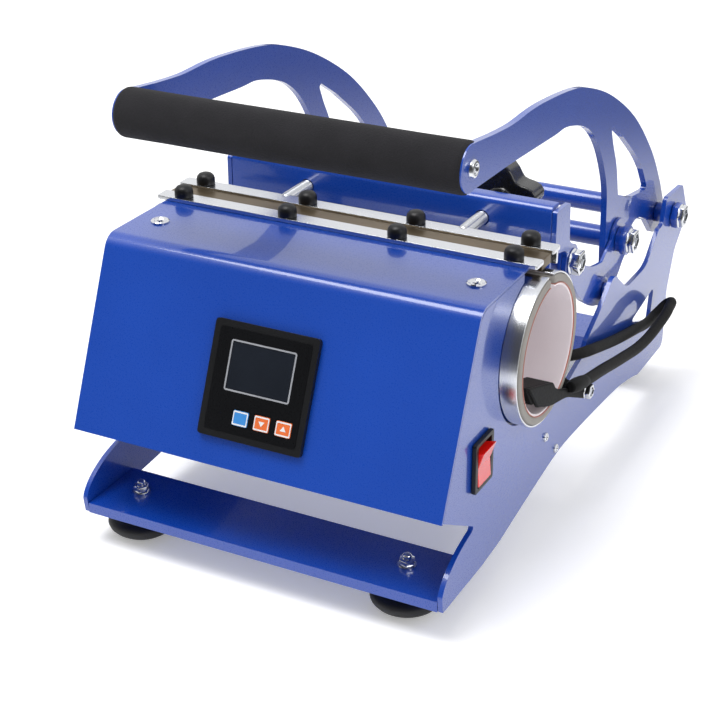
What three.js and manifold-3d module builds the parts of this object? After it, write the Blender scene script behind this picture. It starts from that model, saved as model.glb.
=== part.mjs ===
import * as THREE from "three";
import { mergeVertices } from "three/addons/utils/BufferGeometryUtils.js";
import Module from "manifold-3d";

// Mug heat press with a toggle lever, in millimetres.
// X runs along the heater, Y runs from the control face to the back, Z runs up from the floor.

const wasm = await Module();
wasm.setup();

// Driving dimensions: frame
const frameWidth = 240;
const frameDepth = 385;
const plateThickness = 3;
const plateBottom = 21.6;
const frontFootRun = 52.4;
const rearFootRun = 55;
const pieceGap = 0.3;
const cutOverrun = 2;

// Driving dimensions: sheet cover of the control box
const coverAboveBand = 6;
const coverBottom = 80.3;
const coverFront = -3.5;
const coverRear = 115.2;
const coverLean = 23.5;
const coverSheet = 1.5;
const coverBend = 11;

// Driving dimensions: heater
const heaterY = 115.9;
const heaterZ = 135.8;
const bandRadius = 45.9;
const bandSheet = 1.2;
const sleeveThickness = 4.8;
const linerThickness = 1.4;
const heaterOverhang = 11.6;
const stripOverhang = 6;

// Driving dimensions: toggle linkage, whose pivots share the run behind the pressure plate
const pressFaceGap = 6.2;
const leverPivotBehind = 0.5;
const elbowShare = 0.5885;
const jawShare = 0.4322;
const pressShare = 0.1379;
const leverPivotZ = 123.5;
const elbowPivotZ = 135.5;
const pressPivotZ = 156.5;
const jawPivotZ = 111.5;
const gripAxis = { y: 52.5, z: 261.6 };

// Driving dimensions: layers of the moving plates, counted inward from the side plate
const bracketRoom = 3.9;
const bracketThickness = 3;
const linkThickness = 2;
const armThickness = 4;

// Driving dimensions: fasteners and tubes
const boltRadius = 4;
const boltClearance = 0.3;
const upperTubeRadius = 6;
const lowerTubeRadius = 7;

// Planes worked out from the driving dimensions
const plateOuter = frameWidth / 2;
const plateInner = plateOuter - plateThickness;
const bracketOuter = plateInner - bracketRoom;
const bracketInner = bracketOuter - bracketThickness;
const linkOuter = bracketInner - pieceGap;
const linkInner = linkOuter - linkThickness;
const armOuter = linkInner - pieceGap;
const armInner = armOuter - armThickness;
const heaterHalfLength = plateOuter + heaterOverhang;
const stripHalfLength = plateOuter + stripOverhang;
const rearFootStart = frameDepth - rearFootRun;
const boltHole = boltRadius + boltClearance;
const lean = THREE.MathUtils.degToRad(coverLean);
const coverTop = heaterZ + bandRadius + coverAboveBand;
const coverCornerY = coverFront + (coverTop - coverBottom) * Math.tan(lean);

// Pivots worked out from the driving dimensions
const pressFaceY = heaterY + bandRadius + pressFaceGap;
const leverPivot = { y: frameDepth + leverPivotBehind, z: leverPivotZ };
const linkageRun = leverPivot.y - pressFaceY;
const elbowPivot = { y: pressFaceY + elbowShare * linkageRun, z: elbowPivotZ };
const pressPivot = { y: pressFaceY + pressShare * linkageRun, z: pressPivotZ };
const jawPivot = { y: pressFaceY + jawShare * linkageRun, z: jawPivotZ };

// Counts that set how round the pieces are
const roundSegments = 16;
const smallSegments = 12;
const facetSag = 0.16;
const facetLimitShare = 0.06;
const curveSteps = 3;
const weldShare = 1e-6;

// Materials
const looks = {
  coat: { color: 0x2147b0, roughness: 0.25, metalness: 0.1 },
  chrome: { color: 0xc9ccd1, roughness: 0.15, metalness: 1 },
  steel: { color: 0xb9bbc0, roughness: 0.3, metalness: 1 },
  foam: { color: 0x2a2b2e, roughness: 0.95, metalness: 0 },
  rubber: { color: 0x1b1c1e, roughness: 0.8, metalness: 0 },
  plastic: { color: 0x151618, roughness: 0.45, metalness: 0 },
  glass: { color: 0x30343a, roughness: 0.1, metalness: 0 },
  silicone: { color: 0x8f8a86, roughness: 0.7, metalness: 0 },
  liner: { color: 0xe3d3d3, roughness: 0.6, metalness: 0 },
  seam: { color: 0x4a4034, roughness: 0.35, metalness: 0.4 },
  red: { color: 0xc02020, roughness: 0.3, metalness: 0 },
  blueKey: { color: 0x3f8fd8, roughness: 0.5, metalness: 0 },
  orangeKey: { color: 0xdb6a35, roughness: 0.5, metalness: 0 },
};

const model = new THREE.Group();

// Solids

function signedVolume(geometry) {
  const place = geometry.getAttribute("position");
  const index = geometry.getIndex();
  const a = new THREE.Vector3();
  const b = new THREE.Vector3();
  const c = new THREE.Vector3();
  let total = 0;
  for (let i = 0; i < index.count; i += 3) {
    a.fromBufferAttribute(place, index.getX(i));
    b.fromBufferAttribute(place, index.getX(i + 1));
    c.fromBufferAttribute(place, index.getX(i + 2));
    total += a.dot(b.cross(c)) / 6;
  }
  return total;
}

function closed(geometry) {
  geometry.deleteAttribute("normal");
  geometry.deleteAttribute("uv");
  geometry.computeBoundingSphere();
  const merged = mergeVertices(geometry, geometry.boundingSphere.radius * weldShare);
  if (signedVolume(merged) < 0) {
    merged.getIndex().array.reverse();
  }
  return merged;
}

function solid(geometry) {
  const merged = closed(geometry);
  const vertProperties = new Float32Array(merged.getAttribute("position").array);
  const triVerts = new Uint32Array(merged.getIndex().array);
  return new wasm.Manifold(new wasm.Mesh({ numProp: 3, vertProperties, triVerts }));
}

function surface(body) {
  const mesh = body.getMesh();
  const geometry = new THREE.BufferGeometry();
  geometry.setAttribute("position", new THREE.BufferAttribute(mesh.vertProperties, 3));
  geometry.setIndex(new THREE.BufferAttribute(mesh.triVerts, 1));
  geometry.computeVertexNormals();
  return geometry;
}

function joined(first, ...others) {
  return others.reduce((body, other) => body.add(other), first);
}

function cut(first, ...others) {
  return others.reduce((body, other) => body.subtract(other), first);
}

function place(name, body, look, parent = model) {
  const geometry = body.isBufferGeometry ? closed(body) : surface(body);
  const mesh = new THREE.Mesh(geometry, new THREE.MeshStandardMaterial(looks[look]));
  mesh.name = name;
  parent.add(mesh);
  return mesh;
}

// Outlines

function corner(u, v, radius = 0) {
  return { u, v, radius };
}

function bow(points) {
  const curve = new THREE.SplineCurve(points.map(([u, v]) => new THREE.Vector2(u, v)));
  return curve.getPoints((points.length - 1) * curveSteps).map((p) => corner(p.x, p.y));
}

function arc(u, v, radius, from, to) {
  const step = 2 * Math.acos(1 - Math.min(facetSag / radius, facetLimitShare));
  const steps = Math.max(2, Math.ceil(Math.abs(to - from) / step));
  const points = [];
  for (let i = 0; i <= steps; i += 1) {
    const angle = from + ((to - from) * i) / steps;
    points.push(corner(u + radius * Math.cos(angle), v + radius * Math.sin(angle)));
  }
  return points;
}

function fillet(before, at, after) {
  const here = new THREE.Vector2(at.u, at.v);
  const back = new THREE.Vector2(before.u, before.v).sub(here);
  const ahead = new THREE.Vector2(after.u, after.v).sub(here);
  const reach = Math.min(back.length(), ahead.length()) / 2;
  back.normalize();
  ahead.normalize();
  const half = Math.acos(THREE.MathUtils.clamp(back.dot(ahead), -1, 1)) / 2;
  const run = Math.min(at.radius / Math.tan(half), reach);
  const radius = run * Math.tan(half);
  const middle = back.clone().add(ahead).normalize();
  const centre = here.clone().addScaledVector(middle, radius / Math.sin(half));
  const start = here.clone().addScaledVector(back, run).sub(centre);
  const end = here.clone().addScaledVector(ahead, run).sub(centre);
  const turn = Math.atan2(start.cross(end), start.dot(end));
  const from = start.angle();
  return arc(centre.x, centre.y, radius, from, from + turn);
}

function outline(corners) {
  const points = [];
  corners.forEach((at, i) => {
    const before = corners[(i + corners.length - 1) % corners.length];
    const after = corners[(i + 1) % corners.length];
    const stretch = at.radius > 0 ? fillet(before, at, after) : [at];
    stretch.forEach((p) => points.push(new THREE.Vector2(p.u, p.v)));
  });
  return points;
}

function circle(u, v, radius, segments = roundSegments) {
  const points = [];
  for (let i = 0; i < segments; i += 1) {
    const angle = (2 * Math.PI * i) / segments;
    points.push(new THREE.Vector2(u + radius * Math.cos(angle), v + radius * Math.sin(angle)));
  }
  return points;
}

function rectangle(width, height, radius, u = 0, v = 0) {
  return outline([
    corner(u - width / 2, v - height / 2, radius),
    corner(u + width / 2, v - height / 2, radius),
    corner(u + width / 2, v + height / 2, radius),
    corner(u - width / 2, v + height / 2, radius),
  ]);
}

function sheetStrip(path, thickness) {
  const outer = outline(path);
  const inner = outer.map((point, i) => {
    const before = outer[Math.max(i - 1, 0)];
    const after = outer[Math.min(i + 1, outer.length - 1)];
    const along = after.clone().sub(before).normalize();
    const first = (i > 0 ? point.clone().sub(before) : after.clone().sub(point)).normalize();
    const bend = Math.max(Math.abs(along.dot(first)), Math.SQRT1_2);
    return new THREE.Vector2(along.y, -along.x).multiplyScalar(thickness / bend).add(point);
  });
  return [...outer, ...inner.reverse()];
}

// Extrusions and turned pieces

function slab(points, holes, depth) {
  const shape = new THREE.Shape(points);
  holes.forEach((hole) => shape.holes.push(new THREE.Path(hole)));
  return new THREE.ExtrudeGeometry(shape, { depth, bevelEnabled: false });
}

const alongX = new THREE.Matrix4().set(0, 0, 1, 0, 1, 0, 0, 0, 0, 1, 0, 0, 0, 0, 0, 1);

function plateX(points, holes, fromX, toX) {
  const geometry = slab(points, holes, Math.abs(toX - fromX));
  return geometry.applyMatrix4(alongX).translate(Math.min(fromX, toX), 0, 0);
}

function plateZ(points, holes, fromZ, toZ) {
  return slab(points, holes, toZ - fromZ).translate(0, 0, fromZ);
}

function turnedX(profile, side = 1, segments = roundSegments) {
  const points = profile.map(([x, radius]) => new THREE.Vector2(radius, x));
  return new THREE.LatheGeometry(points, segments).rotateZ((-side * Math.PI) / 2);
}

function turnedY(profile, segments = roundSegments) {
  return new THREE.LatheGeometry(
    profile.map(([y, radius]) => new THREE.Vector2(radius, y)),
    segments,
  );
}

function turnedZ(profile, segments = roundSegments) {
  return turnedY(profile, segments).rotateX(Math.PI / 2);
}

function block(width, depth, height) {
  return new THREE.BoxGeometry(width, depth, height);
}

// Side plates
const plateFillet = 3;
const archRise = 16.4;
const archShares = [[0.1, 0.13], [0.2, 0.42], [0.4, 0.94], [0.52, 1], [0.8, 0.67], [0.93, 0.32]];
const legFront = -1;
const legShoulder = 47;
const legShoulderFillet = 17;
const notchY = 38.2;
const notchZ = 53.4;
const boxHeelY = 40.3;
const boxHeelZ = 55.8;
const cradleClearance = 1.2;
const cradleTipY = 102;
const cradleEndAngle = -78;
const saddleBehind = 32.1;
const saddleLowZ = 65;
const saddleFillet = 12;
const stepLowAhead = 53;
const stepLowZ = 88.5;
const stepHighAhead = 46.5;
const stepHighZ = 97;
const bumpFootAhead = 26;
const bumpFootZ = 107.5;
const bumpRadius = 11;
const bumpFromAngle = 38;
const bumpToAngle = 142;
const dipHeight = 104.4;
const dipFrontBehind = 28;
const dipRearAhead = 54.5;
const dipFillet = 24;
const earFront = 23;
const earTopFront = 18.5;
const earTopRear = 16.5;
const earTopReach = 18.5;
const earBack = 35.5;
const earBackDrop = 10.5;
const earFillet = 5;
const uprightWaistZ = 66;
const uprightNeckZ = 93;
const uprightNeckOut = 11;
const uprightFillet = 18;
const windowFillet = 3;
const windowFront = { ahead: 81, z: 73 };
const windowLow = { ahead: 37, z: 56.5 };
const windowHigh = { ahead: 33, z: 80.5 };

// Rocker switch, named here because its body passes through the right plate
const switchY = 46.5;
const switchZ = 95;
const switchFrameWidth = 24.5;
const switchFrameHeight = 31;
const switchBodyWidth = 21.4;
const switchBodyHeight = 28;
const switchFrameProud = 2.6;
const switchBodyDepth = 24;
const switchFillet = 1.5;

function foldLine(offset, z) {
  const along = (z - coverBottom) * Math.tan(lean);
  return coverFront + offset / Math.cos(lean) + along;
}

function archPoints() {
  const run = rearFootStart - frontFootRun;
  const inside = archShares.map(([s, t]) => [frontFootRun + s * run, plateBottom + t * archRise]);
  return bow([[frontFootRun, plateBottom], ...inside, [rearFootStart, plateBottom]]);
}

function cradlePoints() {
  const radius = bandRadius + cradleClearance;
  const from = THREE.MathUtils.degToRad(cradleEndAngle);
  const rise = Math.asin((heaterY - cradleTipY) / radius);
  return arc(heaterY, heaterZ, radius, from, rise - (3 * Math.PI) / 2);
}

function bumpPoints() {
  const from = THREE.MathUtils.degToRad(bumpFromAngle);
  return arc(jawPivot.y, jawPivot.z, bumpRadius, from, THREE.MathUtils.degToRad(bumpToAngle));
}

function earPoints() {
  return [
    corner(frameDepth + uprightNeckOut, uprightNeckZ, uprightFillet),
    corner(leverPivot.y + earBack, leverPivot.z - earBackDrop, earFillet),
    corner(leverPivot.y + earTopReach, leverPivot.z + earTopRear, earFillet),
    corner(leverPivot.y - earTopReach, leverPivot.z + earTopFront, earFillet),
    corner(leverPivot.y - earFront, leverPivot.z, earFillet),
    corner(leverPivot.y - earFront - earTopReach / 2, leverPivot.z, earFillet),
  ];
}

function boxFrontPoints() {
  const inset = coverSheet + pieceGap;
  return [
    corner(cradleTipY, coverTop - inset),
    corner(foldLine(inset, coverTop - inset), coverTop - inset, coverBend),
    corner(foldLine(inset, coverBottom), coverBottom),
    corner(boxHeelY, boxHeelZ, plateFillet / 2),
    corner(notchY, notchZ, plateFillet / 2),
    corner(legFront, legShoulder, legShoulderFillet),
    corner(0, plateBottom, plateFillet / 2),
  ];
}

function sidePlateOutline() {
  return outline([
    ...archPoints(),
    corner(frameDepth, plateBottom, plateFillet * 2),
    corner(frameDepth, uprightWaistZ, uprightFillet),
    ...earPoints(),
    corner(leverPivot.y - dipRearAhead, dipHeight, dipFillet),
    corner(jawPivot.y + dipFrontBehind, dipHeight, dipFillet),
    ...bumpPoints(),
    corner(jawPivot.y - bumpFootAhead, bumpFootZ, saddleFillet),
    corner(jawPivot.y - stepHighAhead, stepHighZ, plateFillet),
    corner(jawPivot.y - stepLowAhead, stepLowZ, plateFillet),
    corner(heaterY + saddleBehind, saddleLowZ, saddleFillet),
    ...cradlePoints(),
    ...boxFrontPoints(),
  ]);
}

function sidePlate(side) {
  const window = outline([
    corner(frameDepth - windowFront.ahead, windowFront.z, windowFillet / 2),
    corner(frameDepth - windowLow.ahead, windowLow.z, windowFillet),
    corner(frameDepth - windowHigh.ahead, windowHigh.z, windowFillet),
  ]);
  const hole = circle(leverPivot.y, leverPivot.z, boltHole);
  const clearance = 2 * pieceGap;
  const width = switchBodyWidth + clearance;
  const height = switchBodyHeight + clearance;
  const switchHole = rectangle(width, height, switchFillet, switchY, switchZ);
  const holes = side > 0 ? [window, hole, switchHole] : [window, hole];
  return plateX(sidePlateOutline(), holes, side * plateInner, side * plateOuter);
}

place("side_plate_right", sidePlate(1), "coat");
place("side_plate_left", sidePlate(-1), "coat");

// Feet, named before the foot plates because their studs pass through them
const footInset = 26.2;
const footShift = -5.4;
const frontFootY = 26.5;
const rearFootAhead = 24;
const footRadius = 21.5;
const footBottomRadius = 12;
const footWidestZ = 9;
const footNeckRadius = 8.5;
const footNeckZ = 19.5;
const footStudRadius = 3;
const footNutRadius = 5.5;
const footNutHeight = 4.5;
const footStudTip = 3;

// Foot plates
const footSheet = 2.5;
const frontFootTop = 28.2;
const frontFootDepth = 48;
const rearFootTop = 36;
const rearPlateDepth = 38;
const rearPlateInset = 5;
const footFlangeLift = 1;

function footPlate(frontY, rearY, top, flangeBottom) {
  const section = [
    new THREE.Vector2(frontY, flangeBottom),
    new THREE.Vector2(frontY + footSheet, flangeBottom),
    new THREE.Vector2(frontY + footSheet, top - footSheet),
    new THREE.Vector2(rearY - footSheet, top - footSheet),
    new THREE.Vector2(rearY - footSheet, flangeBottom + footFlangeLift),
    new THREE.Vector2(rearY, flangeBottom + footFlangeLift),
    new THREE.Vector2(rearY, top),
    new THREE.Vector2(frontY, top),
  ];
  const half = plateInner - pieceGap;
  return solid(plateX(section, [], -half, half));
}

function footXs() {
  const spread = plateInner - footInset;
  return [footShift + spread, footShift - spread];
}

function pin(radius, from, to) {
  return [[from, 0], [from, radius], [to, radius], [to, 0]];
}

function drilledFootPlate(frontY, rearY, top, footY) {
  const bore = pin(footStudRadius + pieceGap, -footSheet - cutOverrun, cutOverrun);
  const holes = footXs().map((x) => solid(turnedZ(bore).translate(x, footY, top)));
  return cut(footPlate(frontY, rearY, top, plateBottom), ...holes);
}

const rearFootY = frameDepth - rearFootAhead;
const rearPlateBack = frameDepth - rearPlateInset;
const rearPlateFront = rearPlateBack - rearPlateDepth;
place("front_foot_plate", drilledFootPlate(0, frontFootDepth, frontFootTop, frontFootY), "coat");
place("rear_foot_plate", drilledFootPlate(rearPlateFront, rearPlateBack, rearFootTop, rearFootY), "coat");

// Feet
const footLowHeightShare = 0.28;
const footLowReachShare = 0.84;
const footShoulderShare = 0.94;

function footProfile(top) {
  const spread = footRadius - footBottomRadius;
  return [
    [0, 0],
    [0, footBottomRadius],
    [footWidestZ * footLowHeightShare, footBottomRadius + spread * footLowReachShare],
    [footWidestZ, footRadius],
    [(footWidestZ + footNeckZ) / 2, footRadius * footShoulderShare],
    [footNeckZ, footNeckRadius * Math.SQRT2],
    [footNeckZ + pieceGap, footNeckRadius],
    [top - footSheet - pieceGap, footNeckRadius],
    [top - footSheet - pieceGap, footStudRadius],
    [top + pieceGap, footStudRadius],
    [top + pieceGap, footNutRadius],
    [top + footNutHeight, footNutRadius],
    [top + footNutHeight, footStudRadius],
    [top + footNutHeight + footStudTip, footStudRadius],
    [top + footNutHeight + footStudTip, 0],
  ];
}

function foot(name, x, y, top) {
  place(name, turnedZ(footProfile(top), smallSegments), "rubber").position.set(x, y, 0);
}

["right", "left"].forEach((side, i) => {
  foot(`foot_front_${side}`, footXs()[i], frontFootY, frontFootTop);
  foot(`foot_rear_${side}`, footXs()[i], rearFootY, rearFootTop);
});

// Control panel sizes, named before the cover because the panel's housing passes through it
const panelX = -2.1;
const panelZ = 126.5;
const panelSize = 67;
const panelProud = 3;
const panelFillet = 2;
const panelHousing = 60;
const panelHousingDepth = 26;
const panelCutout = 61;
const windowWidth = 41.9;
const windowHeight = 29;
const windowShiftX = -0.8;
const windowShiftY = 8.7;
const windowDepth = 2;
const keySize = 9.5;
const keyXs = [-7.6, 6.2, 20.2];
const keyRowY = -20;
const keyProud = 0.8;
const keyPocketDepth = 7;
const keyBodyDepth = 4.5;
const keyClearance = 0.4;

function panelGroup() {
  const group = new THREE.Group();
  const y = foldLine(0, panelZ);
  group.position.set(panelX, y, panelZ);
  group.rotation.x = Math.PI / 2 - lean;
  return group;
}

// Clamp strips and their caps
const stripThickness = 2.4;
const stripBottom = coverTop + pieceGap;
const stripTop = stripBottom + stripThickness;
const frontStripY = 110.9;
const rearStripY = 136.2;
const stripDepth = 11;
const stripFillet = 1.5;
const capEndMargin = 16.35;
const capPlaceShares = [-1, -1 / 3, 1 / 3, 1];
const capRadius = 5.8;
const capShoulder = 2.9;
const capCrown = 1;
const capHeight = 7.4;
const capStudRadius = 2.4;
const capStudDrop = 3.6;
const rearLipDrop = 9;
const rearLipThickness = 2.4;

function capXs() {
  return capPlaceShares.map((share) => share * (stripHalfLength - capEndMargin));
}

// Cover
const coverScrewInset = 17;
const coverScrewY = 74;
const coverScrewRadius = 4.6;
const coverScrewHead = 2.6;
const coverScrewShank = 2;
const coverScrewReach = 8;

function coverHole(x, y, radius) {
  const profile = pin(radius, -coverSheet - cutOverrun, cutOverrun);
  return solid(turnedZ(profile).translate(x, y, coverTop));
}

function coverScrewX(side) {
  return side * (plateOuter - coverScrewInset);
}

function cover() {
  const path = [
    corner(coverFront, coverBottom),
    corner(coverCornerY, coverTop, coverBend),
    corner(coverRear, coverTop),
  ];
  const sheet = solid(plateX(sheetStrip(path, coverSheet), [], -plateOuter, plateOuter));
  const group = panelGroup();
  group.updateMatrixWorld(true);
  const opening = block(panelCutout, panelCutout, panelHousing).applyMatrix4(group.matrixWorld);
  const screwHole = coverScrewShank + pieceGap;
  const capHole = capStudRadius + pieceGap;
  const screws = [1, -1].map((side) => coverHole(coverScrewX(side), coverScrewY, screwHole));
  const caps = capXs().map((x) => coverHole(x, frontStripY, capHole));
  return cut(sheet, solid(opening), ...screws, ...caps);
}

place("front_cover", cover(), "coat");

function coverScrew(name, side) {
  const profile = [
    [-coverScrewReach, 0],
    [-coverScrewReach, coverScrewShank],
    [pieceGap, coverScrewShank],
    [pieceGap, coverScrewRadius],
    [coverScrewHead / 2, coverScrewRadius],
    [coverScrewHead, coverScrewRadius / 2],
    [coverScrewHead, 0],
  ];
  const screw = place(name, turnedZ(profile, smallSegments), "chrome");
  screw.position.set(coverScrewX(side), coverScrewY, coverTop);
}

coverScrew("cover_screw_right", 1);
coverScrew("cover_screw_left", -1);

// Floor pan of the control box
const panSheet = 1.5;
const panTop = coverBottom;
const panRearRise = 16;
const panFrontRise = 10;
const panFillet = 3;

function floorPan() {
  const inset = coverSheet + pieceGap;
  const frontLow = foldLine(inset, panTop - panSheet) + coverSheet;
  const frontHigh = foldLine(inset, panTop + panFrontRise) + coverSheet;
  const path = [
    corner(pressFaceY, panTop + panRearRise),
    corner(pressFaceY, panTop - panSheet, panFillet),
    corner(frontLow, panTop - panSheet, panFillet),
    corner(frontHigh, panTop + panFrontRise),
  ];
  const half = plateInner - pieceGap;
  return solid(plateX(sheetStrip(path, panSheet), [], -half, half));
}

place("floor_pan", floorPan(), "coat");

// Heater: steel band round a silicone sleeve round a liner, all split at the top
const slitFront = 4.5;
const slitRear = 11;
const bandInset = 5;
const linerInset = 1.6;

function splitRing(outerRadius, innerRadius, halfLength) {
  const outer = arc(
    heaterY,
    heaterZ,
    outerRadius,
    Math.acos(slitFront / outerRadius),
    Math.acos(slitRear / outerRadius) + 2 * Math.PI,
  );
  const inner = arc(
    heaterY,
    heaterZ,
    innerRadius,
    Math.acos(slitRear / innerRadius) + 2 * Math.PI,
    Math.acos(slitFront / innerRadius),
  );
  return plateX(outline([...outer, ...inner]), [], -halfLength, halfLength);
}

const sleeveRadius = bandRadius - bandSheet - pieceGap;
const linerRadius = sleeveRadius - sleeveThickness - pieceGap;
const boreRadius = linerRadius - linerThickness;
const sleeveBore = sleeveRadius - sleeveThickness;
place("heater_band", splitRing(bandRadius, bandRadius - bandSheet, heaterHalfLength - bandInset), "steel");
place("heater_sleeve", splitRing(sleeveRadius, sleeveBore, heaterHalfLength), "silicone");
place("heater_liner", splitRing(linerRadius, boreRadius, heaterHalfLength - linerInset), "liner");

// Strips that clamp the two ends of the band, and the seam bar between them
const seamInset = 1.5;
const seamBottom = heaterZ + bandRadius + 1.3;
const seamDrop = 1;

function stripHoles(y) {
  return capXs().map((x) => circle(x, y, capStudRadius + pieceGap, smallSegments));
}

function frontStrip() {
  const plan = rectangle(2 * stripHalfLength, stripDepth, stripFillet, 0, frontStripY);
  return plateZ(plan, stripHoles(frontStripY), stripBottom, stripTop);
}

function seamBar() {
  const front = frontStripY + stripDepth / 2 + pieceGap;
  const rear = rearStripY - stripDepth / 2 - pieceGap;
  const top = stripTop - seamDrop;
  const section = [
    new THREE.Vector2(front, seamBottom),
    new THREE.Vector2(rear, seamBottom),
    new THREE.Vector2(rear, top),
    new THREE.Vector2(front, top),
  ];
  const half = stripHalfLength - seamInset;
  return plateX(section, [], -half, half);
}

place("front_clamp_strip", frontStrip(), "chrome");
place("seam_bar", seamBar(), "seam");

function capProfile() {
  const dome = capRadius * Math.SQRT1_2;
  return [
    [-stripThickness - capStudDrop, 0],
    [-stripThickness - capStudDrop, capStudRadius],
    [pieceGap, capStudRadius],
    [pieceGap, capRadius],
    [capHeight - capShoulder, capRadius],
    [capHeight - capCrown, dome],
    [capHeight, dome / 2],
    [capHeight, 0],
  ];
}

function capRow(row, y, parent) {
  capXs().forEach((x, i) => {
    const cap = place(`cap_${row}_${i + 1}`, turnedZ(capProfile(), smallSegments), "rubber", parent);
    cap.position.set(x, y, stripTop);
  });
}

capRow("front", frontStripY, model);

// Control panel
const panel = panelGroup();
model.add(panel);

function panelBezel() {
  const size = panelSize;
  const face = solid(plateZ(rectangle(size, size, panelFillet), [], pieceGap, panelProud + pieceGap));
  const housing = rectangle(panelHousing, panelHousing, panelFillet);
  const body = solid(plateZ(housing, [], -panelHousingDepth, panelProud));
  const top = panelProud + pieceGap + cutOverrun;
  const shown = rectangle(
    windowWidth + 2 * pieceGap,
    windowHeight + 2 * pieceGap,
    panelFillet / 2,
    windowShiftX,
    windowShiftY,
  );
  const recess = solid(plateZ(shown, [], panelProud - windowDepth, top));
  const pocketSize = keySize + 2 * keyClearance;
  const pockets = keyXs.map((x) => {
    const plan = rectangle(pocketSize, pocketSize, panelFillet / 2, x, keyRowY);
    return solid(plateZ(plan, [], panelProud - keyPocketDepth, top));
  });
  return cut(joined(face, body), recess, ...pockets);
}

function panelKey(x) {
  const plan = rectangle(keySize, keySize, panelFillet / 2, x, keyRowY);
  return plateZ(plan, [], panelProud - keyBodyDepth, panelProud + keyProud);
}

function panelWindow() {
  const plan = rectangle(windowWidth, windowHeight, panelFillet / 2, windowShiftX, windowShiftY);
  return plateZ(plan, [], panelProud - windowDepth + pieceGap, panelProud - pieceGap);
}

place("panel_bezel", panelBezel(), "plastic", panel);
place("panel_window", panelWindow(), "glass", panel);
["set", "down", "up"].forEach((name, i) => {
  place(`key_${name}`, panelKey(keyXs[i]), name === "set" ? "blueKey" : "orangeKey", panel);
});

// Rocker switch
const rockerWidth = 17.2;
const rockerHalf = 11.2;
const rockerTilt = 7;
const rockerFace = 9.3;
const rockerDip = 2.2;
const rockerRoot = 3;
const rockerRootHalf = 6.5;
const rockerPivotX = plateOuter - 4.5;
const pocketHalf = 12.9;
const pocketWidth = 18;
const pocketDepth = 13;

function switchFrame() {
  const faceFrom = plateOuter + pieceGap;
  const faceTo = faceFrom + switchFrameProud;
  const rim = rectangle(switchFrameWidth, switchFrameHeight, switchFillet, switchY, switchZ);
  const core = rectangle(switchBodyWidth, switchBodyHeight, switchFillet, switchY, switchZ);
  const pocket = rectangle(pocketWidth, 2 * pocketHalf, switchFillet / 2, switchY, switchZ);
  const frame = solid(plateX(rim, [], faceFrom, faceTo));
  const body = solid(plateX(core, [], faceTo - switchBodyDepth, faceTo - pieceGap));
  const hollow = solid(plateX(pocket, [], faceTo - pocketDepth, faceTo + cutOverrun));
  return cut(joined(frame, body), hollow);
}

function switchRocker() {
  const section = [
    new THREE.Vector2(-rockerRootHalf, -rockerRoot),
    new THREE.Vector2(rockerRootHalf, -rockerRoot),
    new THREE.Vector2(rockerHalf, rockerFace),
    new THREE.Vector2(0, rockerFace - rockerDip),
    new THREE.Vector2(-rockerHalf, rockerFace),
  ];
  const width = rockerWidth;
  const bar = slab(section, [], width).translate(0, 0, -width / 2);
  const turn = new THREE.Matrix4().set(0, 1, 0, 0, 0, 0, 1, 0, 1, 0, 0, 0, 0, 0, 0, 1);
  return bar.applyMatrix4(turn);
}

place("switch_frame", switchFrame(), "plastic");
const rocker = place("switch_rocker", switchRocker(), "red");
rocker.position.set(rockerPivotX, switchY, switchZ);
rocker.rotation.y = THREE.MathUtils.degToRad(rockerTilt);

// Lead: boot at the mouth of the heater, and the cable that loops along the right plate
const bootAngle = -62;
const bootWidth = 20;
const bootHeight = 11;
const bootInside = 22;
const bootProud = 6;
const bootReach = 5;
const bootFillet = 2.5;
const bootCollarWidth = 7;
const bootCollar = 10.5;
const bootCollarLength = 15;
const strapWidth = 8;
const strapStart = { y: 138, z: 92.5 };
const strapEnd = { y: 167, z: 82.5 };
const postRadius = 4;
const leadRadius = 3.6;
const leadSides = 8;
const leadSteps = 52;
const leadPoints = [
  [135.4, 153.5, 96.8],
  [135, 171, 91.6],
  [134, 205, 83.5],
  [134.5, 245, 75],
  [135.5, 283, 69],
  [136, 316, 69.5],
  [135.4, 340, 71.8],
  [131.2, 354, 70],
  [126, 347, 64.5],
  [124.6, 331, 63.6],
  [124.5, 301, 70],
  [124.5, 258.5, 80],
  [124.5, 219, 91],
  [123.6, 205, 94.5],
  [119, 192, 96.5],
  [110, 184, 96],
  [100, 179, 92],
  [95, 173, 89],
  [95, 168.4, 89],
];
const leadCurve = new THREE.CatmullRomCurve3(leadPoints.map((p) => new THREE.Vector3(...p)));

function bootClip() {
  const seat = boreRadius - pieceGap - facetSag;
  const inner = Math.sqrt(seat * seat - (bootWidth * bootWidth) / 4);
  const faceX = heaterHalfLength + pieceGap;
  const section = outline([
    corner(inner - bootHeight, faceX + bootProud, bootFillet),
    corner(inner - bootHeight, faceX - bootInside, bootFillet),
    corner(inner, faceX - bootInside, bootFillet / 2),
    corner(inner, faceX),
    corner(bandRadius + bootReach, faceX),
    corner(bandRadius + bootReach, faceX + bootProud, bootFillet),
  ]);
  const turn = new THREE.Matrix4().set(0, 1, 0, 0, 1, 0, 0, 0, 0, 0, -1, 0, 0, 0, 0, 1);
  const bar = slab(section, [], bootWidth).translate(0, 0, -bootWidth / 2).applyMatrix4(turn);
  return bar.rotateX(THREE.MathUtils.degToRad(bootAngle)).translate(0, heaterY, heaterZ);
}

function bootCollarBlock() {
  const heading = leadCurve.getTangent(0);
  const start = leadCurve.getPoint(0).addScaledVector(heading, -pieceGap);
  const collar = block(bootCollarWidth, bootCollarLength, bootCollar);
  collar.translate(0, -bootCollarLength / 2, 0);
  const turn = new THREE.Quaternion().setFromUnitVectors(new THREE.Vector3(0, 1, 0), heading);
  const middleX = heaterHalfLength + pieceGap + bootCollarWidth / 2;
  return collar.applyQuaternion(turn).translate(middleX, start.y, start.z);
}

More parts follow.
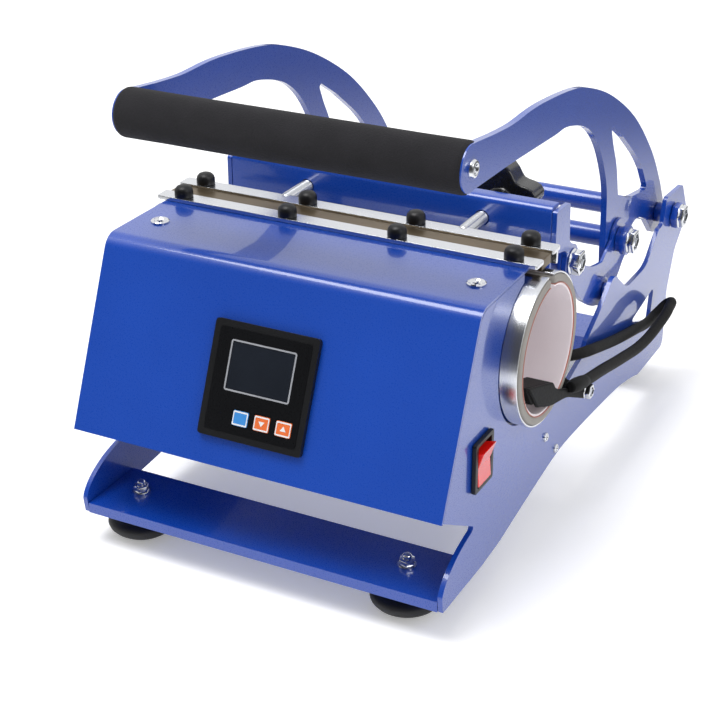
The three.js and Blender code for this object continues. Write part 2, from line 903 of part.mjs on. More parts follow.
function bootStrap() {
  const run = new THREE.Vector2(strapEnd.y - strapStart.y, strapEnd.z - strapStart.z);
  const angle = run.angle();
  const half = Math.PI / 2;
  const far = arc(strapEnd.y, strapEnd.z, strapWidth / 2, angle - half, angle + half);
  const near = arc(strapStart.y, strapStart.z, strapWidth / 2, angle + half, angle + half + Math.PI);
  const faceX = heaterHalfLength + pieceGap;
  return plateX(outline([...far, ...near]), [], faceX, faceX + bootProud);
}

function bootPost() {
  const top = heaterHalfLength + pieceGap + bootProud / 2;
  const profile = pin(postRadius, plateOuter + pieceGap, top);
  return turnedX(profile).translate(0, strapEnd.y, strapEnd.z);
}

function boot() {
  return joined(solid(bootClip()), solid(bootCollarBlock()), solid(bootStrap()), solid(bootPost()));
}

function lead() {
  const section = new THREE.Shape(circle(0, 0, leadRadius, leadSides));
  return new THREE.ExtrudeGeometry(section, { steps: leadSteps, extrudePath: leadCurve });
}

place("lead_boot", boot(), "plastic");
place("heater_lead", lead(), "rubber");

// Pivot bolts: heads outside, shanks through the plates, spacers between them
const leverBoltHead = 4.6;
const leverBoltCollar = 4.7;
const leverBoltCollarRadius = 9.5;
const boltHeadRadius = 8.4;
const boltTip = 12;
const spacerRadius = 7;
const elbowBossRadius = 10;
const elbowBossLength = 7.3;
const elbowHead = 5.5;
const pressBossRadius = 9;
const pressBossLength = 6.6;
const pressHead = 7;
const jawPinRadius = 5;
const jawPinClearance = 0.25;
const jawSpacerRadius = 6.2;

function pivot(name, profile, at, side, look, parent) {
  place(name, turnedX(profile, side), look, parent).position.set(0, at.y, at.z);
}

function leverBoltProfile() {
  const collar = plateOuter + pieceGap + leverBoltCollar;
  return [
    [armInner - boltTip, 0],
    [armInner - boltTip, boltRadius],
    [armOuter + pieceGap, boltRadius],
    [armOuter + pieceGap, spacerRadius],
    [plateInner - pieceGap, spacerRadius],
    [plateInner - pieceGap, boltRadius],
    [plateOuter + pieceGap, boltRadius],
    [plateOuter + pieceGap, leverBoltCollarRadius],
    [collar, leverBoltCollarRadius],
    [collar, boltHeadRadius],
    [collar + leverBoltHead, boltHeadRadius],
    [collar + leverBoltHead, 0],
  ];
}

function elbowBoltProfile() {
  const boss = linkOuter + pieceGap;
  return [
    [armInner - boltTip, 0],
    [armInner - boltTip, boltRadius],
    [boss, boltRadius],
    [boss, elbowBossRadius],
    [boss + elbowBossLength, elbowBossRadius],
    [boss + elbowBossLength, boltHeadRadius],
    [boss + elbowBossLength + elbowHead, boltHeadRadius],
    [boss + elbowBossLength + elbowHead, 0],
  ];
}

function pressBoltProfile() {
  const inner = linkInner - pieceGap;
  const outer = bracketOuter + pieceGap;
  return [
    [inner - pressBossLength, 0],
    [inner - pressBossLength, pressBossRadius],
    [inner, pressBossRadius],
    [inner, boltRadius],
    [outer, boltRadius],
    [outer, boltHeadRadius],
    [outer + pressHead, boltHeadRadius],
    [outer + pressHead, 0],
  ];
}

function jawPinProfile() {
  return [
    [bracketInner, 0],
    [bracketInner, jawPinRadius],
    [bracketOuter + pieceGap, jawPinRadius],
    [bracketOuter + pieceGap, jawSpacerRadius],
    [plateInner - pieceGap, jawSpacerRadius],
    [plateInner - pieceGap, 0],
  ];
}

// Lever: two arms, a foam grip and two cross tubes
const armLugRadius = 13.8;
const armEyeRadius = 14.5;
const armLugFrom = 80;
const armLugTo = 285;
const armEyeFrom = 28;
const armEyeTo = -118;
const armReach = leverPivot.y - gripAxis.y;
const armRise = gripAxis.z - leverPivot.z;
const armTopShares = [
  [0.083, 1.072], [0.166, 1.056], [0.279, 1.056], [0.432, 1.019], [0.532, 0.963],
  [0.663, 0.838], [0.811, 0.632], [0.937, 0.371], [1.008, 0.163],
];
const armArchShares = [[0.929, 0.017], [0.886, 0.065], [0.853, 0.076], [0.829, 0.059]];
const armHeelShares = [[0.803, -0.065], [0.738, -0.14], [0.695, -0.127], [0.676, -0.04]];
const armInnerShares = [
  [0.671, 0.083], [0.669, 0.228], [0.656, 0.421], [0.6, 0.642], [0.526, 0.785],
  [0.426, 0.862], [0.355, 0.871], [0.173, 0.895], [0.089, 0.902],
];
const leafApexShare = [0.661, 0.706];
const leafTipShare = [0.922, 0.19];
const leafHeelShare = [0.733, 0.3];
const leafOuterShares = [[0.738, 0.594], [0.829, 0.434], [0.882, 0.316]];
const leafLowerShares = [[0.872, 0.208], [0.806, 0.236]];
const leafInnerShares = [[0.709, 0.479], [0.682, 0.597]];
const leafFillet = 5;
const leafTipFillet = 2;
const gripTubeRadius = 9.5;
const gripTubeBore = 8;
const gripPlugLength = 15;
const foamRadius = 14.5;
const foamEndFillet = 3;
const foamEndStep = 1;
const gripScrewRadius = 6;
const gripScrewHead = 3;

function armPoint([s, t]) {
  return [gripAxis.y + s * armReach, leverPivot.z + t * armRise];
}

function armBow(shares) {
  return bow(shares.map(armPoint));
}

function armCorner(share, radius) {
  return corner(...armPoint(share), radius);
}

function armOutline() {
  const lugFrom = THREE.MathUtils.degToRad(armLugFrom);
  const lugTo = THREE.MathUtils.degToRad(armLugTo);
  const eyeFrom = THREE.MathUtils.degToRad(armEyeFrom);
  const eyeTo = THREE.MathUtils.degToRad(armEyeTo);
  return outline([
    ...arc(gripAxis.y, gripAxis.z, armLugRadius, lugTo, lugFrom),
    ...armBow(armTopShares),
    ...arc(leverPivot.y, leverPivot.z, armEyeRadius, eyeFrom, eyeTo),
    ...armBow(armArchShares),
    ...armBow(armHeelShares),
    ...armBow(armInnerShares),
  ]);
}

function armLeaf() {
  return outline([
    armCorner(leafApexShare, leafTipFillet),
    ...armBow(leafOuterShares),
    armCorner(leafTipShare, leafTipFillet),
    ...armBow(leafLowerShares),
    armCorner(leafHeelShare, leafFillet),
    ...armBow(leafInnerShares),
  ]);
}

function boltCircle(at) {
  return circle(at.y, at.z, boltHole, roundSegments);
}

function arm(side) {
  const holes = [boltCircle(leverPivot), boltCircle(elbowPivot), boltCircle(gripAxis)];
  const plate = solid(plateX(armOutline(), holes, side * armInner, side * armOuter));
  const near = side * (armInner - cutOverrun);
  const leaf = solid(plateX(armLeaf(), [], near, side * (armOuter + cutOverrun)));
  return cut(plate, leaf);
}

function tubeProfile(radius, bore, halfLength) {
  return [
    [-halfLength, bore],
    [-halfLength, radius],
    [halfLength, radius],
    [halfLength, bore],
    [-halfLength, bore],
  ];
}

function gripTubeProfile(halfLength) {
  const plug = halfLength - gripPlugLength;
  return [
    [-halfLength, boltHole],
    [-halfLength, gripTubeRadius],
    [halfLength, gripTubeRadius],
    [halfLength, boltHole],
    [plug, boltHole],
    [plug, gripTubeBore],
    [-plug, gripTubeBore],
    [-plug, boltHole],
    [-halfLength, boltHole],
  ];
}

function foamProfile(halfLength) {
  const bore = gripTubeRadius + pieceGap;
  const shoulder = foamRadius - foamEndFillet;
  return [
    [-halfLength, bore],
    [-halfLength, shoulder],
    [-halfLength + foamEndStep, foamRadius - foamEndStep],
    [-halfLength + foamEndFillet, foamRadius],
    [halfLength - foamEndFillet, foamRadius],
    [halfLength - foamEndStep, foamRadius - foamEndStep],
    [halfLength, shoulder],
    [halfLength, bore],
    [-halfLength, bore],
  ];
}

function gripScrewProfile() {
  const face = armOuter + pieceGap;
  return [
    [armInner - boltTip, 0],
    [armInner - boltTip, boltRadius],
    [face, boltRadius],
    [face, gripScrewRadius],
    [face + gripScrewHead / 2, gripScrewRadius],
    [face + gripScrewHead, gripScrewRadius / 2],
    [face + gripScrewHead, 0],
  ];
}

const lever = new THREE.Group();
model.add(lever);
const tubeHalf = armInner - pieceGap;
place("lever_arm_right", arm(1), "coat", lever);
place("lever_arm_left", arm(-1), "coat", lever);
pivot("grip_tube", gripTubeProfile(tubeHalf), gripAxis, 1, "steel", lever);
pivot("grip_foam", foamProfile(tubeHalf), gripAxis, 1, "foam", lever);
pivot("upper_cross_tube", tubeProfile(upperTubeRadius, boltHole, tubeHalf), leverPivot, 1, "coat", lever);
pivot("lower_cross_tube", tubeProfile(lowerTubeRadius, boltHole, tubeHalf), elbowPivot, 1, "coat", lever);

// Curved links from the elbow of the lever to the jaw
const linkEyeRadius = 11.5;
const linkEyeClearance = 4.4;
const linkElbowRadius = 14;
const linkLowShares = [[0.353, -0.311], [0.637, -0.399], [0.819, -0.391], [1.06, -0.291], [1.19, -0.14]];
const linkTopShares = [[0.719, -0.116], [0.505, -0.114], [0.258, -0.055]];
const linkEyeFrom = 62;
const linkEyeTo = 222;
const linkElbowFrom = -10;
const linkElbowTo = 165;

function linkBow(shares) {
  const run = new THREE.Vector2(elbowPivot.y - pressPivot.y, elbowPivot.z - pressPivot.z);
  return bow(shares.map(([s, t]) => [
    pressPivot.y + s * run.x - t * run.y,
    pressPivot.z + s * run.y + t * run.x,
  ]));
}

function linkOutline() {
  const eyeFrom = THREE.MathUtils.degToRad(linkEyeFrom);
  const eyeTo = THREE.MathUtils.degToRad(linkEyeTo);
  const elbowFrom = THREE.MathUtils.degToRad(linkElbowFrom);
  const elbowTo = THREE.MathUtils.degToRad(linkElbowTo);
  return outline([
    ...arc(pressPivot.y, pressPivot.z, linkEyeRadius, eyeFrom, eyeTo),
    ...linkBow(linkLowShares),
    ...arc(elbowPivot.y, elbowPivot.z, linkElbowRadius, elbowFrom, elbowTo),
    ...linkBow(linkTopShares),
  ]);
}

function link(side) {
  const slackHole = circle(pressPivot.y, pressPivot.z, boltRadius + linkEyeClearance);
  return plateX(linkOutline(), [slackHole, boltCircle(elbowPivot)], side * linkInner, side * linkOuter);
}

const links = new THREE.Group();
model.add(links);
place("toggle_link_right", link(1), "coat", links);
place("toggle_link_left", link(-1), "coat", links);

// Jaw: pressure plate between two brackets that swing on the side plates
const pressSheet = 3;
const pressAboveCover = 13.3;
const pressTop = coverTop + pressAboveCover;
const pressBottom = 118;
const pressFlange = 11;
const pressBend = 4;
const tabBelowPress = 2;
const tabDepth = 22;
const tabSlope = 1.5;
const tabBottom = 172;
const tabFillet = 2;
const neckWidth = 6.5;
const neckFillet = 4;
const bracketEyeRadius = 10.8;
const bracketHeelRadius = 14;

function bracketOutline() {
  const run = new THREE.Vector2(jawPivot.y - pressPivot.y, jawPivot.z - pressPivot.z);
  const across = run.angle() + Math.PI / 2;
  const spread = Math.asin((bracketHeelRadius - bracketEyeRadius) / run.length());
  const tabRear = pressFaceY + tabDepth;
  const eyeArc = (from, to) => arc(pressPivot.y, pressPivot.z, bracketEyeRadius, from, to);
  const tabTop = pressTop - tabBelowPress;
  return outline([
    corner(pressFaceY, tabTop, tabFillet),
    corner(tabRear, tabTop - tabSlope, tabFillet),
    corner(tabRear + tabFillet, tabBottom, neckFillet),
    ...eyeArc(across + Math.PI / 6, across + spread),
    ...arc(jawPivot.y, jawPivot.z, bracketHeelRadius, across + spread, across - Math.PI - spread),
    ...eyeArc(across - Math.PI - spread, across - (3 * Math.PI) / 2),
    corner(tabRear + tabFillet - neckWidth, tabBottom - neckFillet, neckFillet),
    corner(pressFaceY, tabBottom, tabFillet),
  ]);
}

function bracket(side) {
  const pinHole = circle(jawPivot.y, jawPivot.z, jawPinRadius + jawPinClearance);
  const holes = [boltCircle(pressPivot), pinHole];
  return plateX(bracketOutline(), holes, side * bracketInner, side * bracketOuter);
}

// Adjusting rods and knobs, named before the pressure plate because the rods pass through it
const rodRadius = 4.4;
const rodClearance = 0.3;
const rodBelowCover = 0.7;
const rodZ = coverTop - rodBelowCover;
const rodInset = 50.1;
const rodShift = 5;
const rodSpread = bracketInner - rodInset;
const rodXs = [rodShift + rodSpread, rodShift - rodSpread];
const rodStudRadius = 3;
const rodRearReach = 54;
const knobHubRadius = 9;
const knobHeadReach = 29;
const knobHeadDepth = 16;
const knobRadius = 20.5;
const knobLobe = 3.5;
const knobLobes = 5;
const knobStepsPerLobe = 8;

function pressurePlate() {
  const path = [
    corner(pressFaceY + pressFlange, pressBottom),
    corner(pressFaceY, pressBottom, pressBend),
    corner(pressFaceY, pressTop, pressBend),
    corner(pressFaceY + pressFlange, pressTop),
  ];
  const half = bracketInner - pieceGap;
  const channel = solid(plateX(sheetStrip(path, pressSheet), [], -half, half));
  const bore = pin(rodRadius + rodClearance, -cutOverrun, pressSheet + cutOverrun);
  const bores = rodXs.map((x) => solid(turnedY(bore).translate(x, pressFaceY, rodZ)));
  return cut(channel, ...bores);
}

const jaw = new THREE.Group();
model.add(jaw);
place("jaw_bracket_right", bracket(1), "coat", jaw);
place("jaw_bracket_left", bracket(-1), "coat", jaw);
place("pressure_plate", pressurePlate(), "coat", jaw);

// Carriage: the rear strip on its two adjusting rods
const carriage = new THREE.Group();
jaw.add(carriage);

function rearStrip() {
  const plan = rectangle(2 * stripHalfLength, stripDepth, stripFillet, 0, rearStripY);
  const top = solid(plateZ(plan, stripHoles(rearStripY), stripBottom, stripTop));
  const rear = rearStripY + stripDepth / 2;
  const lipBottom = stripBottom - rearLipDrop;
  const lip = block(2 * stripHalfLength - 2 * stripFillet, rearLipThickness, stripTop - lipBottom);
  lip.translate(0, rear - rearLipThickness / 2, (stripTop + lipBottom) / 2);
  const bore = pin(rodStudRadius + rodClearance, -rearLipThickness - cutOverrun, cutOverrun);
  const bores = rodXs.map((x) => solid(turnedY(bore).translate(x, rear, rodZ)));
  return cut(joined(top, solid(lip)), ...bores);
}

function rodProfile() {
  const rear = rearStripY + stripDepth / 2;
  return [
    [rear - rearLipThickness, 0],
    [rear - rearLipThickness, rodStudRadius],
    [rear + pieceGap, rodStudRadius],
    [rear + pieceGap, rodRadius],
    [pressFaceY + rodRearReach, rodRadius],
    [pressFaceY + rodRearReach, 0],
  ];
}

function knobStar(radius, lobe) {
  const count = knobLobes * knobStepsPerLobe;
  const points = [];
  for (let i = 0; i < count; i += 1) {
    const angle = (2 * Math.PI * i) / count;
    const reach = radius + lobe * Math.cos(knobLobes * angle);
    points.push(new THREE.Vector2(reach * Math.cos(angle), reach * Math.sin(angle)));
  }
  return points;
}

function knob() {
  const near = pressFaceY + pressSheet + pieceGap;
  const headY = pressFaceY + knobHeadReach;
  const hub = pin(knobHubRadius, near, headY + knobHeadDepth / 2);
  const turn = new THREE.Matrix4().set(0, 1, 0, 0, 0, 0, 1, 0, 1, 0, 0, 0, 0, 0, 0, 1);
  const star = slab(knobStar(knobRadius, knobLobe), [], knobHeadDepth).applyMatrix4(turn);
  star.translate(0, headY, 0);
  const bore = pin(rodRadius + rodClearance, near - cutOverrun, headY + knobHeadDepth + cutOverrun);
  return cut(joined(solid(turnedY(hub)), solid(star)), solid(turnedY(bore)));
}

place("rear_clamp_strip", rearStrip(), "chrome", carriage);
capRow("rear", rearStripY, carriage);
["right", "left"].forEach((side, i) => {
  const rod = place(`adjusting_rod_${side}`, turnedY(rodProfile(), smallSegments), "steel", carriage);
  rod.position.set(rodXs[i], 0, rodZ);
  const handle = place(`star_knob_${side}`, knob(), "plastic", jaw);
  handle.position.set(rodXs[i], 0, rodZ);
});

// Bolts and pins on both sides
[["right", 1], ["left", -1]].forEach(([name, side]) => {
  pivot(`lever_bolt_${name}`, leverBoltProfile(), leverPivot, side, "chrome", model);
  pivot(`jaw_pin_${name}`, jawPinProfile(), jawPivot, side, "coat", model);
  pivot(`elbow_bolt_${name}`, elbowBoltProfile(), elbowPivot, side, "chrome", lever);
  pivot(`grip_screw_${name}`, gripScrewProfile(), gripAxis, side, "chrome", lever);
  pivot(`press_bolt_${name}`, pressBoltProfile(), pressPivot, side, "chrome", jaw);
});

// The origin stands on the floor under the middle of the part, without its lead
function footprint() {
  const box = new THREE.Box3();
  model.updateMatrixWorld(true);
  model.traverse((item) => {
    if (item.isMesh && !item.name.includes("lead")) {
      box.expandByObject(item);
    }
  });
  return box;
}

const middle = footprint().getCenter(new THREE.Vector3());
model.position.set(0, -middle.y, 0);

export default model;
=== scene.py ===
import math

import bmesh
import bpy
from mathutils import Matrix, Vector


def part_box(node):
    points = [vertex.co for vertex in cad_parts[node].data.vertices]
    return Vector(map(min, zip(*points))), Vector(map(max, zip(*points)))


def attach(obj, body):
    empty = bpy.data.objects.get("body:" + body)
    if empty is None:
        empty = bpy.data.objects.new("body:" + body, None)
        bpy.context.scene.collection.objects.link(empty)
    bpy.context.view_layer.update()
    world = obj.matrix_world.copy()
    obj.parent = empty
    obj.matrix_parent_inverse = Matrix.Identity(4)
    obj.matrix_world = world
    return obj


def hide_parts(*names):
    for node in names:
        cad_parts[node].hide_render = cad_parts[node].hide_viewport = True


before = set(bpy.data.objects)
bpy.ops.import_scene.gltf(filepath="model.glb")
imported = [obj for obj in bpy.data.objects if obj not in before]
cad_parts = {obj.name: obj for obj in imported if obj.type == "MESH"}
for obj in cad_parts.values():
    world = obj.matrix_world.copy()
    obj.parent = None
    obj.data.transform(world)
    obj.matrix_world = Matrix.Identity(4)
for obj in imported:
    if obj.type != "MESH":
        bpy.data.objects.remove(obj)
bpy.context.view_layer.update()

# Drawing units: millimetres, with Y counted from the front foot plate as on the part's drawing
MM = 0.001
FRONT = -207.9376

# Points nearer than these are merged: in whole solids, in cut sheets and in bent strips
MERGE = 0.01
SHEET_MERGE = 0.002
STRIP_MERGE = 0.001
# Edges that turn by less than this, in degrees, are shaded smooth
SMOOTH_TURN = 35


def at(x, y, z):
    return Vector((x, y + FRONT, z)) * MM


# Camera and route of the heater lead
CAMERA_PLACE = at(429.9, -694.81, 550.82)
CAMERA_RIGHT = Vector((0.888518, 0.458826, -0.003704))
CAMERA_DOWN = Vector((0.199351, -0.393290, -0.897543))
CAMERA_LENS = 83.08
CAMERA_SENSOR = 36
CAMERA_CLIP = (0.05, 20)

LEAD_ROUTE = [
    (135.4, 153.5, 96.8), (135, 171, 91.6), (134, 205, 83.5), (134.5, 245, 75),
    (135.5, 283, 69), (136, 316, 69.5), (135.4, 340, 71.8), (131.2, 354, 70),
    (126, 347, 64.5), (124.6, 331, 63.6), (124.5, 301, 70), (124.5, 258.5, 80),
    (124.5, 219, 91), (123.6, 205, 94.5), (119, 192, 96.5), (110, 184, 96),
    (100, 179, 92), (95, 173, 89), (95, 168.4, 89),
]
LEAD_RADIUS = 3.6
LEAD_DIVISIONS = 8
LEAD_SIDES = 6


def linked(name, data):
    """A new object in the scene."""
    piece = bpy.data.objects.new(name, data)
    bpy.context.scene.collection.objects.link(piece)
    return piece


def place_camera():
    data = bpy.data.cameras.new("camera")
    data.sensor_width = CAMERA_SENSOR
    data.lens = CAMERA_LENS
    data.clip_start, data.clip_end = CAMERA_CLIP
    camera = linked("camera", data)
    right = CAMERA_RIGHT.normalized()
    back = right.cross(-CAMERA_DOWN).normalized()
    up = back.cross(right)
    camera.matrix_world = Matrix.Translation(CAMERA_PLACE) @ Matrix((right, up, back)).transposed().to_4x4()
    bpy.context.scene.camera = camera


place_camera()


# Modelling by hand in edit mode

def deselect():
    if bpy.context.object and bpy.context.object.mode != "OBJECT":
        bpy.ops.object.mode_set(mode="OBJECT")
    bpy.ops.object.select_all(action="DESELECT")


def edit_all():
    """Opens the active piece in edit mode with all of it selected."""
    bpy.ops.object.mode_set(mode="EDIT")
    bpy.ops.mesh.select_all(action="SELECT")


def leave_edit():
    bpy.ops.object.mode_set(mode="OBJECT")


def draw_out(way):
    """Extrudes what is selected."""
    bpy.ops.mesh.extrude_region_move(TRANSFORM_OT_translate={"value": way})


def take(piece):
    deselect()
    piece.select_set(True)
    bpy.context.view_layer.objects.active = piece
    return piece


def settled(piece, name, sharp=SMOOTH_TURN, level=False):
    """Names a finished piece and leaves its place in its mesh."""
    take(piece)
    piece.name = name
    piece.data.name = name
    bpy.ops.object.transform_apply(location=True, rotation=True, scale=True)
    edit_all()
    bpy.ops.mesh.normals_make_consistent(inside=False)
    leave_edit()
    bpy.ops.object.shade_smooth_by_angle(angle=math.radians(sharp))
    if level:
        apply(piece, "WEIGHTED_NORMAL", mode="FACE_AREA", weight=100, keep_sharp=True)
    return piece


def apply(piece, kind, **settings):
    take(piece)
    modifier = piece.modifiers.new(kind.lower(), kind)
    for key, value in settings.items():
        setattr(modifier, key, value)
    bpy.ops.object.modifier_apply(modifier=modifier.name)
    return piece


def eased(piece, width, segments=2, angle=SMOOTH_TURN):
    return apply(
        piece, "BEVEL", width=width * MM, segments=segments, limit_method="ANGLE",
        angle_limit=math.radians(angle), use_clamp_overlap=True,
    )


def apply_rest(piece):
    """Puts a piece's place, turn and scale into its mesh."""
    take(piece)
    bpy.ops.object.transform_apply(location=True, rotation=True, scale=True)


def middle_of(node, along):
    """The middle of a solid's box, at nought along one axis."""
    low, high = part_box(node)
    middle = [(near + far) / 2 for near, far in zip(low, high)]
    middle["XYZ".index(along)] = 0
    return Vector(middle)


POINT_RADIUS = 0.01
FOLD_TURN = 40
FLAT_TURN = math.radians(1)
AXES = {"X": (1, 0, 0), "Y": (0, 1, 0), "Z": (0, 0, 1)}
FACING = {"X": (0, math.pi / 2, 0), "Y": (-math.pi / 2, 0, 0), "Z": (0, 0, 0)}


def turned(name, axis, centre, stations, sides=48, ease=0.0, ease_angle=SMOOTH_TURN):
    """A turned piece: a disc drawn out along its axis through stations of (distance, radius)."""
    deselect()
    way = Vector(AXES[axis])
    (first, radius), rest = stations[0], stations[1:]
    radius = max(radius, POINT_RADIUS)
    place = Vector(centre) + way * first * MM
    bpy.ops.mesh.primitive_circle_add(
        vertices=sides, radius=radius * MM, fill_type="NGON", location=place, rotation=FACING[axis],
    )
    edit_all()
    for far, wide in rest:
        draw_out(way * (far - first) * MM)
        place = Vector(centre) + way * far * MM
        ratio = max(wide, POINT_RADIUS) / radius
        bpy.ops.transform.resize(value=(ratio,) * 3, center_override=place)
        first, radius = far, max(wide, POINT_RADIUS)
    leave_edit()
    piece = bpy.context.object
    apply_rest(piece)
    if ease:
        eased(piece, ease, angle=ease_angle)
    return settled(piece, name)


def ring(name, axis, centre, section, sides=64, ease=0.0, ease_angle=SMOOTH_TURN):
    """A turned piece with a bore: a closed section of (distance, radius) points spun round the axis."""
    deselect()
    way = Vector(AXES[axis])
    out = Vector((0, 0, 1)) if axis != "Z" else Vector((1, 0, 0))
    bpy.ops.mesh.primitive_circle_add(vertices=len(section), radius=MM, fill_type="NGON", location=centre)
    piece = bpy.context.object
    apply_rest(piece)
    for vertex, (along, away) in zip(piece.data.vertices, section):
        vertex.co = Vector(centre) + (way * along + out * away) * MM
    edit_all()
    bpy.ops.mesh.delete(type="ONLY_FACE")
    bpy.ops.mesh.select_all(action="SELECT")
    bpy.ops.mesh.spin(steps=sides, angle=2 * math.pi, center=centre, axis=way)
    bpy.ops.mesh.select_all(action="SELECT")
    bpy.ops.mesh.remove_doubles(threshold=MERGE * MM)
    leave_edit()
    if ease:
        eased(piece, ease, angle=ease_angle)
    return settled(piece, name)


def folded(node, name, ease=0.4, segments=2, angle=FOLD_TURN, sharp=SMOOTH_TURN):
    """A sheet or plate piece: the frame's own solid with its edges welded, cleaned and eased."""
    piece = take(linked(name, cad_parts[node].data.copy()))
    edit_all()
    bpy.ops.mesh.remove_doubles(threshold=MERGE * MM)
    bpy.ops.mesh.dissolve_limited(angle_limit=FLAT_TURN)
    leave_edit()
    if ease:
        eased(piece, ease, segments=segments, angle=angle)
    return settled(piece, name, sharp, level=True)


# Finishes

class Wire:
    """A shader socket that takes part in sums, each of which adds its Math nodes."""

    def __init__(self, network, socket):
        self.network = network
        self.socket = socket

    def maths(self, operation, *values):
        return self.network.node("ShaderNodeMath", {"operation": operation}, dict(enumerate(values)))

    def __add__(self, other):
        return self.maths("ADD", self, other)

    def __radd__(self, other):
        return self.maths("ADD", other, self)

    def __mul__(self, other):
        return self.maths("MULTIPLY", self, other)

    def __rmul__(self, other):
        return self.maths("MULTIPLY", other, self)


class Network:
    """The nodes of a material or a world."""

    def __init__(self, owner):
        owner.use_nodes = True
        self.tree = owner.node_tree

    def node(self, kind, settings=None, sockets=None, output=0):
        made = self.tree.nodes.new(kind)
        for key, value in (settings or {}).items():
            if key == "stops":
                ramp = made.color_ramp.elements
                while len(ramp) < len(value):
                    ramp.new(1)
                for stop, (position, colour) in zip(ramp, value):
                    stop.position = position
                    stop.color = (*colour, 1)
            else:
                setattr(made, key, value)
        for key, value in (sockets or {}).items():
            self.feed(made.inputs[key], value)
        return Wire(self, made.outputs[output])

    def feed(self, socket, value):
        if isinstance(value, Wire):
            self.tree.links.new(value.socket, socket)
        elif isinstance(value, tuple) and len(value) == 3 and socket.type == "RGBA":
            socket.default_value = (*value, 1)
        else:
            socket.default_value = value


class Finish(Network):
    """One material, with the nodes that lead to its shader."""

    def __init__(self, name, **shader):
        self.material = bpy.data.materials.new(name)
        super().__init__(self.material)
        self.shader = self.tree.nodes["Principled BSDF"]
        for socket, value in shader.items():
            self.shader.inputs[socket.replace("_", " ")].default_value = value
        self.place = self.node("ShaderNodeTexCoord", output="Object")

    def set(self, **values):
        for key, value in values.items():
            self.feed(self.shader.inputs[key.replace("_", " ")], value)
        return self

    def stretched(self, scale):
        return self.node("ShaderNodeMapping", sockets={"Vector": self.place, "Scale": scale})

    def noise(self, scale, detail=2.0, vector=None):
        return self.node("ShaderNodeTexNoise", sockets={
            "Vector": vector or self.place, "Scale": scale, "Detail": detail, "Roughness": 0.5})

    def between(self, factor, first, second):
        return self.node("ShaderNodeMix", {"data_type": "RGBA"}, {0: factor, 6: first, 7: second}, output=2)

    def bump(self, height, strength, distance):
        return self.node("ShaderNodeBump", sockets={
            "Height": height, "Strength": strength, "Distance": distance})


def srgb(red, green, blue):
    def linear(value):
        value /= 255
        return value / 12.92 if value <= 0.04045 else ((value + 0.055) / 1.055) ** 2.4
    return linear(red), linear(green), linear(blue)


def powder_coat():
    """Gloss powder coat: fine orange peel, slightly uneven colour, clear skin."""
    finish = Finish("powder_coat_blue", Coat_Weight=0.9, Coat_Roughness=0.03, IOR=1.5)
    peel = finish.noise(420, 3)
    drift = finish.noise(14, 2)
    grit = finish.noise(1600, 1)
    colour = finish.between(drift, srgb(9, 63, 162), srgb(17, 72, 176))
    return finish.set(
        Base_Color=colour,
        Roughness=0.22 + grit * 0.14,
        Normal=finish.bump(peel + grit * 0.25, 0.10, 0.0006),
    ).material


def grained(name, dark, light, rough, spread, grain, cloud, depth, height, **shader):
    """Two close colours under a fine grain that also roughens and dents the surface."""
    finish = Finish(name, **shader)
    fine = finish.noise(*grain)
    return finish.set(
        Base_Color=finish.between(finish.noise(*cloud), dark, light),
        Roughness=rough + fine * spread,
        Normal=finish.bump(fine, depth, height),
    ).material


def moulded(name, dark, light, rough, grain=900, depth=0.12, **shader):
    """Moulded rubber or plastic with a fine spark-eroded grain."""
    return grained(name, dark, light, rough - 0.08, 0.16, (grain, 3), (30, 2), depth, 0.0005, **shader)


def bright_metal(name, colour, rough, brush, depth=0.06, **shader):
    """Plated or rolled metal with fine marks drawn out along one way."""
    finish = Finish(name, Metallic=1.0, **shader)
    marks = finish.noise(1.0, 3, finish.stretched(brush))
    cloud = finish.noise(45, 2)
    return finish.set(
        Base_Color=finish.between(cloud, tuple(c * 0.92 for c in colour), colour),
        Roughness=rough + marks * 0.10,
        Normal=finish.bump(marks, depth, 0.0002),
    ).material


def foam():
    """Closed-cell foam: tiny pores and a dusty bloom."""
    finish = Finish("foam_black", Specular_IOR_Level=0.15, Sheen_Weight=0.06, Sheen_Roughness=0.6)
    pores = finish.node("ShaderNodeTexVoronoi", sockets={"Vector": finish.place, "Scale": 1150})
    fine = finish.noise(2200, 2)
    cloud = finish.noise(55, 4)
    colour = finish.between(cloud * 0.6 + fine * 0.4, srgb(18, 18, 20), srgb(44, 43, 47))
    return finish.set(
        Base_Color=colour,
        Roughness=0.86 + fine * 0.12,
        Normal=finish.bump(pores * 0.7 + fine * 0.5, 0.5, 0.0007),
    ).material


def liner_cloth():
    """Silicone-faced liner with the faint print of its woven glass backing."""
    finish = Finish("liner_pale", Coat_Weight=0.2, Coat_Roughness=0.3)
    weave = finish.node("ShaderNodeTexWave", {"wave_type": "BANDS", "bands_direction": "X"}, {
        "Vector": finish.place, "Scale": 160.0, "Distortion": 0.6, "Detail": 1.0})
    drift = finish.noise(22, 3)
    return finish.set(
        Base_Color=finish.between(drift, srgb(240, 228, 232), srgb(250, 242, 246)),
        Roughness=0.42 + weave * 0.1,
        Normal=finish.bump(weave, 0.08, 0.0003),
    ).material


# Dark brown metal for the bar over the heater's slit: its tone is partly the brown of the heater's ends and
# partly painted shade of the gap between the strips.
def seam_metal():
    finish = Finish("seam_brown", Metallic=0.75)
    marks = finish.noise(1.0, 4, finish.stretched((12, 900, 900)))
    tint = finish.noise(1.0, 2, finish.stretched((16, 40, 40)))
    return finish.set(
        Base_Color=finish.between(tint, srgb(72, 60, 44), srgb(128, 112, 86)),
        Roughness=0.24 + marks * 0.18,
        Normal=finish.bump(marks, 0.1, 0.0002),
    ).material


